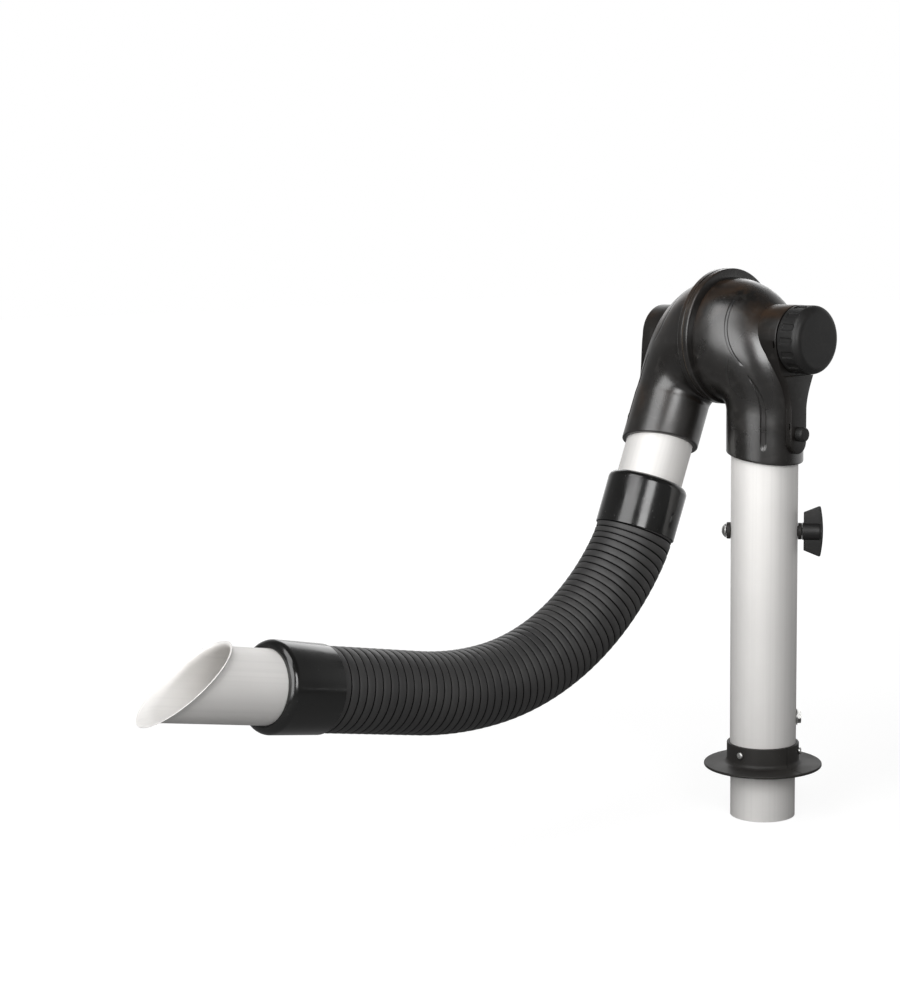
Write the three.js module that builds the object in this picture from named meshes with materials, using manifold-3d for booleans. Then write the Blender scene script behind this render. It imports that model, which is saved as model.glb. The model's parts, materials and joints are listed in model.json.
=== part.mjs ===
// Bench-top fume extraction arm: swivelling mast, friction elbow, ribbed hose and mitred nozzle.
// Millimetres, +Z up. The origin is on the mast axis at the bench top, +X is the way the arm
// reaches, and +Y is the side of the friction knob.
import * as THREE from "three";
import { mergeVertices } from "three/addons/utils/BufferGeometryUtils.js";
import Module from "manifold-3d";

const wasm = await Module();
wasm.setup();
const radians = THREE.MathUtils.degToRad;

// Driving dimensions
const gap = 0.3; // clearance between pieces that touch
const tubeRadius = 37.5; // 75 mm duct tube
const tubeWall = 1.25;
const jointHeight = 486; // elbow axis above the bench
const armOffset = 112; // from the mast axis to the arm tube axis, along the elbow axis
const armLean = 23.2; // arm tube, away from straight down
const roundSides = 36; // facets round a tube

// Bench flange and swivel spigot
const flangeRadius = 67;
const flangeThickness = 4.5;
const collarRadius = 41;
const collarTop = 27.4;
const collarStep = 22.5; // the mast tube stands on this shoulder
const collarFillet = 4.5;
const spigotRadius = 36.85; // below the bench, for the duct that is pushed over it
const swivelRadius = tubeRadius - tubeWall - gap; // swaged down inside the mast
const spigotBottom = -58;
const spigotTop = 90;
const collarScrewHeight = 18;
const collarScrewAngles = [3, 123, 243];
const collarSplitAngle = 82;
const collarSplitWidth = 0.8;

// Mast tube and what passes through its wall
const mastTop = 397;
const lockBoltHeight = 56;
const lockBoltAngle = 132;
const damperHeight = 270;
const damperAngle = 128;

// Elbow shells, measured from the elbow axis
const sleeveRadius = 43;
const sleeveRim = -132;
const sleeveRimSlant = 9.3;
const domeRadius = 66;
const domeFoot = 73.5; // the dome reaches lower than that at the crotch
const domeTrim = 3; // its sides are drawn in by this much
const domeWall = 4.5;
const jointFlangeRadius = 76;
const jointFlangeThickness = 6.5;
const jointSeam = 1.5; // gap between the two flanges, filled by the seal ring
const lowerCrown = 0; // fullness of each shell's back
const upperCrown = -4.5;
const bendPivotZ = -81.5; // the elbow's sections fan round this line
const shellSides = 28;
const bendSteps = 7;
const grooveAngle = 38; // shallow groove up the knob's side of each shell
const grooveTwist = -23; // and how far it has turned on the dome
const grooveHalfAngle = 5.2;
const grooveDepth = 1.1;

// Joint brackets, friction bolt and knob, measured outward from the tube's axis
const knobBracket = { boss: 37.4, bossEnd: 45.5, spine: 49, crown: lowerCrown };
const plainBracket = { boss: 33.5, bossEnd: 45.5, spine: 45.5, crown: upperCrown };
const spineHalfWidth = 13.2;
const spineEnd = -126;
const spineTop = -39.8; // below the knob's skirt
const bracketScrewZ = -104;
const boltRadius = 5;
const boltFloor = 37.5; // floor of the pocket for the bolt's head
const pocketRadius = 16;
const knobRadius = 37.4;
const knobStart = 47.1;
const knobEnd = 75;
const knobRound = 8.5;
const knobFlutes = 15;

// Cuffs, hose and nozzle, measured along the duct
const cuffStart = 176; // upper cuff, from the elbow axis
const upperCuff = { length: 61, lip: 10, front: 45.8, rear: 45.4 };
const lowerCuff = { length: 66, lip: 15, front: 46.9, rear: 45.4 };
const hoseRadius = 43.7;
const hoseBore = 41.2;
const hoseGroove = 1.3;
const hoseRibs = 60;
const hoseSides = 14;
// the hose's free route: [bend radius, turn in degrees], one tangent arc after another
const hoseArcs = [[129, 13.3], [283, 49.8], [389, 14.9]];
const hoseFreeEnd = 131; // straight run before the lower cuff
const nozzleInside = 30; // inside the lower cuff
const mouthCentre = 93; // where the mitred mouth crosses the nozzle axis, from the cuff's front
const mitreAngle = 44;
const mouthTurn = -9.5; // the mouth faces up and a little away from the knob's side
const mouthFlare = 4.9;

// Finishes
const finish = (color, roughness, metalness) =>
  new THREE.MeshStandardMaterial({ color, roughness, metalness });
const anodised = () => finish("#c9c8c6", 0.38, 0.9);
const shellBlack = () => finish("#1d1c1b", 0.42, 0);
const knobBlack = () => finish("#232323", 0.6, 0);
const cuffBlack = () => finish("#121212", 0.2, 0);
const hoseGrey = () => finish("#2b2a2a", 0.75, 0);
const zinc = () => finish("#b9bbbd", 0.3, 1);
const steel = () => finish("#8d8f92", 0.45, 1);
const brass = () => finish("#b08d4a", 0.4, 1);
const fibre = () => finish("#5b4a3a", 0.9, 0);
const nylon = () => finish("#2a2b2d", 0.5, 0);

// A closed geometry with shared corners and its faces pointing out
function closed(geometry) {
  const bare = geometry.clone();
  for (const name of Object.keys(bare.attributes)) {
    if (name !== "position") bare.deleteAttribute(name);
  }
  const merged = mergeVertices(bare, 1e-4);
  const place = merged.attributes.position;
  const all = merged.index.array;
  const faces = [];
  let volume = 0;
  for (let i = 0; i < all.length; i += 3) {
    const [a, b, c] = [all[i], all[i + 1], all[i + 2]];
    if (a === b || b === c || c === a) continue;
    faces.push([a, b, c]);
    const [p, q, r] = [a, b, c].map((k) => new THREE.Vector3().fromBufferAttribute(place, k));
    volume += p.dot(q.cross(r));
  }
  merged.setIndex(faces.flatMap(([a, b, c]) => (volume < 0 ? [a, c, b] : [a, b, c])));
  return merged;
}

// Booleans on closed geometries
function solidOf(geometry) {
  const shape = closed(geometry);
  return new wasm.Manifold(new wasm.Mesh({
    numProp: 3,
    vertProperties: new Float32Array(shape.attributes.position.array),
    triVerts: new Uint32Array(shape.index.array),
  }));
}

function geometryOf(solid) {
  const mesh = solid.getMesh();
  const geometry = new THREE.BufferGeometry();
  geometry.setAttribute("position", new THREE.BufferAttribute(mesh.vertProperties, 3));
  geometry.setIndex(new THREE.BufferAttribute(mesh.triVerts, 1));
  return geometry;
}

function cut(geometry, ...tools) {
  return geometryOf(tools.reduce((rest, tool) => rest.subtract(solidOf(tool)), solidOf(geometry)));
}

function join(...pieces) {
  return geometryOf(pieces.map(solidOf).reduce((whole, piece) => whole.add(piece)));
}

function common(a, b) {
  return geometryOf(solidOf(a).intersect(solidOf(b)));
}

// Revolved about Z: outline points are [radius, height]
function turned(outline, sides = roundSides) {
  const points = outline.map(([r, z]) => new THREE.Vector2(r, z));
  const onAxis = outline[0][0] === 0 && outline.at(-1)[0] === 0;
  if (!onAxis) points.push(points[0].clone());
  return new THREE.LatheGeometry(points, sides).rotateX(Math.PI / 2);
}

// Revolved about Z, then laid along +Y or, turned by an angle about Z, along a level direction
const turnedAlongY = (outline, sides) => turned(outline, sides).rotateX(-Math.PI / 2);
const turnedOutward = (outline, angle, sides) =>
  turned(outline, sides).rotateY(Math.PI / 2).rotateZ(radians(angle));

// Quarter-round corner as outline points
function corner(centre, radius, from, to, steps = 4) {
  const points = [];
  for (let i = 0; i <= steps; i += 1) {
    const a = radians(from + ((to - from) * i) / steps);
    points.push([centre[0] + radius * Math.cos(a), centre[1] + radius * Math.sin(a)]);
  }
  return points;
}

const drillAlongY = (radius, from, to, z, sides = 16) =>
  turnedAlongY([[0, from], [radius, from], [radius, to], [0, to]], sides).translate(0, 0, z);
const drillOutward = (radius, from, to, angle, z, sides = 16) =>
  turnedOutward([[0, from], [radius, from], [radius, to], [0, to]], angle, sides).translate(0, 0, z);

// An outline in X and Z, extruded along +Y from one depth to another
function extrudedAlongY(shape, from, to, curveSegments = 10, bevel = 0) {
  const geometry = new THREE.ExtrudeGeometry(shape, {
    depth: to - from - 2 * bevel,
    curveSegments,
    bevelEnabled: bevel > 0,
    bevelSize: bevel,
    bevelThickness: bevel,
    bevelOffset: -bevel,
    bevelSegments: 2,
  });
  const toXZ = new THREE.Matrix4().set(-1, 0, 0, 0, 0, 0, 1, from + bevel, 0, 1, 0, 0, 0, 0, 0, 1);
  return geometry.applyMatrix4(toXZ);
}

// Skin over a closed loop of rings, each an array of points
function ringSkin(rings) {
  const sides = rings[0].length;
  const position = rings.flat().flatMap((p) => [p.x, p.y, p.z]);
  const index = [];
  rings.forEach((_, i) => {
    const next = (i + 1) % rings.length;
    for (let j = 0; j < sides; j += 1) {
      const after = (j + 1) % sides;
      const [a, b] = [i * sides + j, i * sides + after];
      const [c, d] = [next * sides + after, next * sides + j];
      index.push(a, b, c, a, c, d);
    }
  });
  const geometry = new THREE.BufferGeometry();
  geometry.setAttribute("position", new THREE.Float32BufferAttribute(position, 3));
  geometry.setIndex(index);
  return geometry;
}

function piece(name, geometry, material) {
  const mesh = new THREE.Mesh(closed(geometry), material);
  mesh.name = name;
  return mesh;
}

function mirroredAcrossJoint(geometry) {
  return closed(geometry.clone().scale(1, -1, 1).translate(0, -armOffset, 0));
}

// Base: a split bench flange with its collar, the spigot that goes through the bench, three screws
function benchFlange() {
  const edge = 1.2;
  const outline = [
    [spigotRadius + gap, 0],
    [flangeRadius - edge, 0],
    [flangeRadius, edge],
    [flangeRadius - edge, 2 * edge + 0.6],
    ...corner([collarRadius + collarFillet, flangeThickness + collarFillet], collarFillet, 270, 180, 2),
    [collarRadius, collarTop - edge],
    [collarRadius - edge, collarTop],
    [tubeRadius + gap, collarTop],
    [tubeRadius + gap, collarStep],
    [spigotRadius + gap, collarStep],
  ];
  const split = new THREE.BoxGeometry(flangeRadius, collarSplitWidth, 4 * collarTop)
    .translate(flangeRadius / 2 + spigotRadius - 2, 0, 0)
    .rotateZ(radians(collarSplitAngle));
  const holes = collarScrewAngles.map((angle) =>
    drillOutward(2.3, spigotRadius - 3, collarRadius + 3, angle, collarScrewHeight, 10));
  return cut(turned(outline), split, ...holes);
}

function spigotTube() {
  const tube = turned([
    [swivelRadius - tubeWall, spigotBottom], [spigotRadius, spigotBottom],
    [spigotRadius, collarStep - 1], [swivelRadius, collarStep + 1], [swivelRadius, spigotTop],
    [swivelRadius - tubeWall, spigotTop],
  ]);
  const holes = collarScrewAngles.map((angle) =>
    drillOutward(2.3, spigotRadius - 5, spigotRadius + 3, angle, collarScrewHeight, 10));
  return cut(tube, ...holes);
}

function collarScrew(angle) {
  const seat = collarRadius + gap;
  const outline = [
    [0, spigotRadius - 4], [2, spigotRadius - 4], [2, seat], [3.9, seat],
    ...corner([2.7, seat + 1.2], 1.2, 0, 90, 2), [0, seat + 2.4],
  ];
  return turnedOutward(outline, angle, 10).translate(0, 0, collarScrewHeight);
}

// Mast: tube, lock bolt and washer
function mastTube() {
  const bore = tubeRadius - tubeWall;
  const bottom = collarStep + 1 + gap;
  const tube = turned([[bore, bottom], [tubeRadius, bottom], [tubeRadius, mastTop], [bore, mastTop]]);
  return cut(
    tube,
    drillOutward(6.4, bore - 3, tubeRadius + 3, damperAngle, damperHeight),
    drillOutward(6.4, bore - 3, tubeRadius + 3, damperAngle + 180, damperHeight),
    drillOutward(4.4, bore - 3, tubeRadius + 3, lockBoltAngle, lockBoltHeight),
    drillOutward(2.9, bore - 3, tubeRadius + 3, 90, jointHeight + bracketScrewZ, 12),
  );
}

const lockWasherOuter = tubeRadius + gap + 1;

function lockWasher() {
  const from = tubeRadius + gap;
  const outline = [[4.4, from], [9.3, from], [9.3, lockWasherOuter], [4.4, lockWasherOuter]];
  return turnedOutward(outline, lockBoltAngle, 20).translate(0, 0, lockBoltHeight);
}

function lockBolt() {
  const seat = lockWasherOuter + gap;
  const head = turnedOutward([[0, seat], [7.5, seat], [7.5, seat + 3.3], [6.6, seat + 4], [0, seat + 4]],
    lockBoltAngle, 6);
  const tip = swivelRadius + gap;
  const shank = turnedOutward([[0, tip], [4, tip], [4, seat + 1], [0, seat + 1]], lockBoltAngle, 16);
  return join(head, shank).translate(0, 0, lockBoltHeight);
}

// Damper: a disc on a flatted shaft, made along X and turned to its place
const damperFlat = 34;

function placedDamper(geometry) {
  return geometry.clone().rotateZ(radians(damperAngle)).translate(0, 0, damperHeight);
}

function damperShaft() {
  const radius = 4;
  const tip = -42.6;
  const outline = [
    [0, tip + 10], [2.3, tip + 10], [2.3, tip], [radius, tip], [radius, 58], [0, 58],
  ];
  const shaft = turnedOutward(outline, 0, 16);
  const flat = new THREE.BoxGeometry(2 * damperFlat, 2 * radius, 4 * radius).translate(0, radius, 0);
  return placedDamper(cut(shaft, flat));
}

const damperScrewSpots = [-18, 18];
const discFrom = gap;
const discTo = gap + 1.5;

function damperDisc() {
  const radius = damperFlat - 0.4;
  const disc = turnedAlongY([[0, discFrom], [radius, discFrom], [radius, discTo], [0, discTo]], 32);
  const holes = damperScrewSpots.map((x) => drillAlongY(2.1, -1, 3, 0, 10).translate(x, 0, 0));
  return placedDamper(cut(disc, ...holes));
}

function damperScrew(x) {
  const seat = discTo + gap;
  const outline = [[0, 2 * gap], [1.7, 2 * gap], [1.7, seat], [3.5, seat],
    ...corner([1.7, seat], 1.8, 0, 90, 3).slice(1, -1), [0, seat + 2]];
  return placedDamper(turnedAlongY(outline, 10).translate(x, 0, 0));
}

function damperBush(side) {
  const inner = tubeRadius - tubeWall - 0.8;
  const face = tubeRadius + gap;
  const outline = [[4.3, inner], [6.1, inner], [6.1, face], [9.4, face],
    [9.4, face + 3.6], [8.7, face + 4.3], [4.3, face + 4.3]];
  return placedDamper(turnedOutward(outline, side > 0 ? 0 : 180, 16));
}

function damperCapScrew() {
  const seat = 42.6 + gap;
  const dome = corner([0, seat - 4], 9, Math.asin(5.6 / 9) * (180 / Math.PI), 90, 4);
  const outline = [[0, seat - 9], [2, seat - 9], [2, seat], [8, seat], [8, seat + 1], ...dome.slice(0, -1),
    [0, seat + 5]];
  return placedDamper(turnedOutward(outline, 180, 16));
}

function wingHandle() {
  const wing = new THREE.Shape();
  wing.moveTo(44, 21.5);
  wing.lineTo(60.5, 28.2);
  wing.quadraticCurveTo(62.6, 28.8, 63.2, 26.5);
  wing.quadraticCurveTo(69.8, 0, 63.2, -26.5);
  wing.quadraticCurveTo(62.6, -28.8, 60.5, -28.2);
  wing.lineTo(44, -21.5);
  const plate = extrudedAlongY(wing, -3.1, 3.1, 4, 1.2).rotateZ(Math.PI);
  const hub = turnedOutward([[0, 42.5], [9.8, 42.5], [9.8, 58], ...corner([6.3, 60.5], 3.5, 0, 90, 3),
    [0, 64]], 0, 20);
  const socket = turnedOutward([[0, 40], [4.3, 40], [4.3, 58.4], [0, 58.4]], 0, 16);
  return placedDamper(cut(join(plate, hub), socket));
}

// Elbow: both shells are one form, mirrored across the seam. Sections fan round a line near the
// crotch and grow from the sleeve's circle to the dome's.
const jointPlane = -armOffset / 2;
const flangeFront = jointPlane + jointSeam / 2;
const flangeBack = flangeFront + jointFlangeThickness;
const ease = (u) => u * u * (3 - 2 * u);
const mix = (a, b, t) => a + (b - a) * t;

function squareAngles() {
  const angles = [];
  for (let j = 0; j < shellSides; j += 1) angles.push((360 * j) / shellSides);
  const edges = [-1.6, -1, -0.75, 0.75, 1, 1.6].map((k) => grooveAngle + k * grooveHalfAngle);
  const clear = (a) => Math.abs(a - grooveAngle) > 2.1 * grooveHalfAngle;
  return [...angles.filter(clear), ...edges].sort((a, b) => a - b);
}

// The sections' points turn with the groove, which leans round the dome
function shellAngles(u) {
  const twist = grooveTwist * ease(Math.min(u / 0.55, 1));
  return squareAngles().map((angle) => angle + twist);
}

// Depth of the groove at a section's point, running out up the dome
function groove(j, u) {
  const across = Math.abs(squareAngles()[j] - grooveAngle) / grooveHalfAngle;
  return across < 0.9 && u < 0.5 ? grooveDepth : 0;
}

function bendRing(u, inset, crown, grooved) {
  const turn = (u * Math.PI) / 2;
  const bow = Math.sin(Math.PI * u);
  const far = mix(sleeveRadius - flangeBack, domeRadius - bendPivotZ, ease(u)) + crown * bow;
  const near = mix(-flangeBack - sleeveRadius, -bendPivotZ - domeFoot, ease(u)) + 2 * bow * bow;
  const reach = (far + near) / 2;
  return shellAngles(u).map((angle, j) => {
    const r = (far - near) / 2 - inset - (grooved ? groove(j, u) : 0);
    const out = reach + r * Math.sin(radians(angle));
    return new THREE.Vector3(
      (r - domeTrim * ease(u)) * Math.cos(radians(angle)),
      flangeBack + out * Math.cos(turn),
      bendPivotZ + out * Math.sin(turn),
    );
  });
}

function sleeveRing(radius, z, slant = 0, grooved = false) {
  return shellAngles(0).map((angle, j) => {
    const r = radius - (grooved ? groove(j, 0) : 0);
    const y = r * Math.sin(radians(angle));
    return new THREE.Vector3(r * Math.cos(radians(angle)), y, z - y * Math.tan(radians(slant)));
  });
}

function flangeRing(radius, y) {
  return shellAngles(1).map((angle) => new THREE.Vector3(
    radius * Math.cos(radians(angle)), y, radius * Math.sin(radians(angle))));
}

function bendRings(inset, crown, grooved = false) {
  return Array.from({ length: bendSteps + 1 }, (_, i) => bendRing(i / bendSteps, inset, crown, grooved));
}

function elbowShell(crown) {
  const tubeEnd = mastTop - jointHeight + gap;
  const stop = tubeRadius - 1;
  const edge = 1.2;
  const outer = [
    sleeveRing(sleeveRadius - 1, sleeveRim, sleeveRimSlant),
    sleeveRing(sleeveRadius, sleeveRim + 1.2, sleeveRimSlant),
    sleeveRing(sleeveRadius, sleeveRim + 11, sleeveRimSlant),
    sleeveRing(sleeveRadius, sleeveRim + 13, sleeveRimSlant, true),
    ...bendRings(0, crown, true),
    flangeRing(jointFlangeRadius - edge, flangeBack),
    flangeRing(jointFlangeRadius, flangeBack - edge),
    flangeRing(jointFlangeRadius, flangeFront),
  ];
  const inner = [
    flangeRing(domeRadius - domeWall, flangeFront),
    ...bendRings(domeWall, crown).reverse(),
    sleeveRing(stop, tubeEnd + 3),
    sleeveRing(stop, tubeEnd),
    sleeveRing(tubeRadius + gap, tubeEnd),
    sleeveRing(tubeRadius + gap, sleeveRim, sleeveRimSlant),
  ];
  return cut(
    ringSkin([...outer, ...inner]),
    drillAlongY(boltRadius + 0.6, 0, 60, 0),
    drillAlongY(2.9, tubeRadius - 4, sleeveRadius + 5, bracketScrewZ, 12),
  );
}

// The solid that the brackets are fitted to: the shell's outside, grown by the clearance
function elbowOutside(crown) {
  return ringSkin([
    sleeveRing(0.5, sleeveRim - 20),
    sleeveRing(sleeveRadius + gap, sleeveRim - 20),
    ...bendRings(-gap, crown),
    flangeRing(0.5, flangeBack),
  ]);
}

// Teardrop outline of a bracket: the boss circle running down into the narrow spine
function bracketOutline(boss) {
  const w = spineHalfWidth;
  const low = spineEnd + w;
  const from = radians(-22);
  const [neckX, neckZ] = [boss * Math.cos(from), boss * Math.sin(from)];
  const straight = -76;
  const shape = new THREE.Shape();
  shape.moveTo(neckX, neckZ);
  shape.absarc(0, 0, boss, from, Math.PI - from, false);
  shape.bezierCurveTo(-neckX + 4.7, neckZ - 20, -w - 1.8, straight + 23, -w, straight);
  shape.lineTo(-w, low);
  shape.absarc(0, low, w, Math.PI, 2 * Math.PI, false);
  shape.lineTo(w, straight);
  shape.bezierCurveTo(w + 1.8, straight + 23, neckX - 4.7, neckZ - 20, neckX, neckZ);
  return shape;
}

function bracketBody({ boss, bossEnd, spine }) {
  const outline = bracketOutline(boss);
  if (spine === bossEnd) return extrudedAlongY(outline, 6, bossEnd, 7, 3);
  const belowKnob = new THREE.BoxGeometry(100, 200, 200).translate(0, 0, spineTop - 100);
  return join(extrudedAlongY(outline, 6, bossEnd, 7),
    common(extrudedAlongY(outline, 6, spine, 7, 1.4), belowKnob));
}

function jointBracket(form) {
  const bossWindow = new THREE.BoxGeometry(6, 2.6, 7.5).translate(form.boss, form.bossEnd - 2.3, -4.5);
  const spineWindow = new THREE.BoxGeometry(4, 1.6, 7).translate(spineHalfWidth, form.spine - 2.6, -95);
  const tools = [elbowOutside(form.crown),
    drillAlongY(boltRadius + 0.6, 20, 60, 0), drillAlongY(2.9, 20, 60, bracketScrewZ, 12)];
  if (form === plainBracket) tools.push(drillAlongY(pocketRadius, boltFloor, 60, 0, 24));
  else tools.push(bossWindow, spineWindow);
  return cut(bracketBody(form), ...tools);
}

function bracketScrew({ spine }) {
  const seat = spine + gap;
  const outline = [
    [0, tubeRadius - 4], [2.6, tubeRadius - 4], [2.6, seat], [7.6, seat], [8, seat + 0.5], [8, seat + 4],
    ...corner([4, seat + 5], 4, 0, 90, 3), [0, seat + 9],
  ];
  return turnedAlongY(outline, 14).translate(0, 0, bracketScrewZ);
}

// Friction bolt along the elbow axis, with its disc and springs. Its head is in the arm's bracket,
// behind a cap.
const discFace = boltFloor + gap;
const springFace = discFace + 1.4 + gap;
const headFace = springFace + 1.4 + gap;
const headThickness = 2.2;

const washer = (bore, outer, from, thickness, sides = 16) =>
  turnedAlongY([[bore, from], [outer, from], [outer, from + thickness], [bore, from + thickness]], sides);

function frictionBolt() {
  const seat = -armOffset - headFace;
  const top = seat - headThickness;
  const tip = knobEnd - 8;
  const head = turnedAlongY([[0, top], [9, top], [9, seat], [0, seat]], 6);
  const shank = turnedAlongY([[0, seat - 1], [boltRadius, seat - 1], [boltRadius, tip], [0, tip]], 16);
  return join(head, shank);
}

function springWashers() {
  const from = springFace;
  return turnedAlongY([[boltRadius + 0.4, from + 0.5], [11, from], [11, from + 0.9],
    [boltRadius + 0.4, from + 1.4]], 16);
}

function boltCap() {
  const from = headFace + headThickness + gap;
  const to = plainBracket.bossEnd + 0.4;
  const r = pocketRadius - gap;
  return turnedAlongY([[0, from], [r, from], [r, to - 0.8], [r - 0.8, to], [0, to]], 24);
}

const sealRing = () => washer(64.6, 75, jointPlane - jointSeam / 2 + gap, jointSeam - 2 * gap, 36);

// Friction knob: a fluted cap on a threaded brass insert
function frictionKnob() {
  const outline = [
    [0, knobEnd - 4], [12.4, knobEnd - 4], [12.4, knobStart], [14.5, knobStart], [14.5, knobStart + 9],
    [34, knobStart + 9], [34, knobStart], [knobRadius - 0.8, knobStart], [knobRadius, knobStart + 0.8],
    ...corner([knobRadius - knobRound, knobEnd - knobRound], knobRound, 0, 90, 4), [0, knobEnd],
  ];
  const flutes = Array.from({ length: knobFlutes }, (_, i) => {
    const cutter = new THREE.CylinderGeometry(6.5, 6.5, 16.5, 10).translate(0, knobStart + 12.7, 0);
    return cutter.translate(knobRadius + 5.3, 0, 0).rotateY((2 * Math.PI * i) / knobFlutes);
  });
  return cut(turnedAlongY(outline, 32), ...flutes);
}

const knobInsert = () => washer(boltRadius + gap, 12.4 - gap, knobStart + 0.2, 17, 20);

// Duct beyond the elbow, along -Z of the arm's own frame
function armTube() {
  const bore = tubeRadius - tubeWall;
  const top = mastTop - jointHeight;
  const end = -(cuffStart + upperCuff.lip + 15);
  const tube = turned([[bore, end], [tubeRadius, end], [tubeRadius, top], [bore, top]])
    .translate(0, -armOffset, 0);
  const side = -armOffset - tubeRadius;
  return cut(tube, drillAlongY(2.9, side - 3, side + 4, bracketScrewZ, 12));
}

// Cuff, from its rounded tube end at 0 towards its hose end along -Z
function cuff({ length, lip, front, rear }) {
  const round = 8;
  const end = -length;
  const outline = [
    [tubeRadius + gap, -lip], [tubeRadius + gap, -0.8], [tubeRadius + gap + 0.6, 0],
    ...corner([front - round, -round], round, 85, 0, 4),
    [rear, end + 0.8], [rear - 0.6, end], [hoseRadius + gap, end], [hoseRadius + gap, -lip],
  ];
  return turned(outline, 30);
}

// Hose route in the arm's own frame: points and directions in the X-Z plane
function hosePoint(distance) {
  const straight = upperCuff.length - upperCuff.lip - gap;
  const runs = [{ length: straight, turn: 0 },
    ...hoseArcs.map(([radius, turn]) => ({ length: radius * radians(turn), turn: radians(turn) })),
    { length: hoseFreeEnd + straight, turn: 0 }];
  let [x, z, angle, left] = [0, -(cuffStart + upperCuff.lip + gap), 0, distance];
  for (const run of runs) {
    const part = Math.min(left, run.length);
    const swing = (run.turn * part) / run.length;
    const chord = swing ? (2 * Math.sin(swing / 2) * part) / swing : part;
    x += chord * Math.sin(angle + swing / 2);
    z -= chord * Math.cos(angle + swing / 2);
    angle += swing;
    left -= part;
  }
  return { x, z, angle, total: runs.reduce((sum, run) => sum + run.length, 0) };
}

function hoseRing(distance, radius) {
  const at = hosePoint(distance);
  return Array.from({ length: hoseSides }, (_, j) => {
    const a = (2 * Math.PI * j) / hoseSides;
    const side = radius * Math.cos(a);
    return new THREE.Vector3(
      at.x + side * Math.cos(at.angle),
      -armOffset + radius * Math.sin(a),
      at.z + side * Math.sin(at.angle),
    );
  });
}

// Shingled ribs between two plain ends that sit inside the cuffs
function ribbedHose() {
  const { total } = hosePoint(0);
  const plain = upperCuff.length - upperCuff.lip - 2;
  const pitch = (total - 2 * plain) / hoseRibs;
  const outer = [hoseRing(0, hoseRadius)];
  for (let i = 0; i < hoseRibs; i += 1) {
    outer.push(hoseRing(plain + i * pitch, hoseRadius));
    outer.push(hoseRing(plain + (i + 0.86) * pitch, hoseRadius - hoseGroove));
  }
  outer.push(hoseRing(total - plain, hoseRadius), hoseRing(total, hoseRadius));
  const boreSteps = hoseRibs / 5 + 2;
  const bore = Array.from({ length: boreSteps + 1 }, (_, i) =>
    hoseRing(total * (1 - i / boreSteps), hoseBore));
  return ringSkin([...outer, ...bore]);
}

// Nozzle pipe from inside the cuff, along -Z, to a flared mouth cut on a slant. A ring's points lie
// on a plane at the mitre angle when its slope is 1, and square to the pipe when it is 0.
function nozzleRing(radius, along, slope) {
  const sides = 32;
  return Array.from({ length: sides }, (_, j) => {
    const a = (2 * Math.PI * j) / sides;
    const back = (slope * radius * Math.cos(a)) / Math.tan(radians(mitreAngle));
    return new THREE.Vector3(radius * Math.cos(a), radius * Math.sin(a), -(along - back));
  });
}

function nozzlePipe() {
  const bore = tubeRadius - tubeWall;
  const flareSteps = [0, 0.08, 0.3, 0.62, 1];
  const flareLength = 15;
  const outer = flareSteps.map((out, i) => nozzleRing(
    tubeRadius + mouthFlare * out, mouthCentre - flareLength * (1 - i / 4) ** 1.3, 1));
  const inner = flareSteps.map((out, i) => nozzleRing(
    bore + mouthFlare * out, mouthCentre + 0.4 - (flareLength - 0.6) * (1 - i / 4) ** 1.3, 1));
  return ringSkin([
    nozzleRing(tubeRadius, -nozzleInside, 0),
    nozzleRing(tubeRadius, 0, 0),
    ...outer,
    ...inner.reverse(),
    nozzleRing(bore, 0, 0),
    nozzleRing(bore, -nozzleInside, 0),
  ]).rotateZ(radians(mouthTurn));
}

// Assembly
const arm = new THREE.Group();
arm.position.z = jointHeight;
arm.rotation.y = -radians(armLean);
const hoseEnd = hosePoint(Infinity);
const hood = new THREE.Group();
hood.position.set(hoseEnd.x, -armOffset, hoseEnd.z);
hood.rotation.y = -hoseEnd.angle;
const toCuffFront = lowerCuff.lip + gap;
const mastJoint = new THREE.Group();
mastJoint.position.z = jointHeight;

hood.add(
  piece("lower_cuff", cuff(lowerCuff).rotateX(Math.PI).translate(0, 0, -toCuffFront), cuffBlack()),
  piece("nozzle_pipe", nozzlePipe().translate(0, 0, -toCuffFront), anodised()),
);
arm.add(
  piece("upper_elbow_shell", mirroredAcrossJoint(elbowShell(upperCrown)), shellBlack()),
  piece("upper_bracket", mirroredAcrossJoint(jointBracket(plainBracket)), shellBlack()),
  piece("upper_bracket_screw", mirroredAcrossJoint(bracketScrew(plainBracket)), knobBlack()),
  piece("bolt_cap", mirroredAcrossJoint(boltCap()), shellBlack()),
  piece("friction_disc", mirroredAcrossJoint(washer(boltRadius + 0.4, 12, discFace, 1.4)), fibre()),
  piece("arm_tube", armTube(), anodised()),
  piece("upper_cuff", cuff(upperCuff).translate(0, -armOffset, -cuffStart), cuffBlack()),
  piece("ribbed_hose", ribbedHose(), hoseGrey()),
  hood,
);
mastJoint.add(
  piece("lower_elbow_shell", elbowShell(lowerCrown), shellBlack()),
  piece("lower_bracket", jointBracket(knobBracket), shellBlack()),
  piece("lower_bracket_screw", bracketScrew(knobBracket), knobBlack()),
  piece("friction_bolt", frictionBolt(), zinc()),
  piece("spring_washers", mirroredAcrossJoint(springWashers()), steel()),
  piece("thrust_washer", washer(boltRadius + 0.6, 20, knobBracket.bossEnd + gap, 1), steel()),
  piece("seal_ring", sealRing(), fibre()),
  piece("friction_knob", frictionKnob(), knobBlack()),
  piece("knob_insert", knobInsert(), brass()),
);

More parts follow.
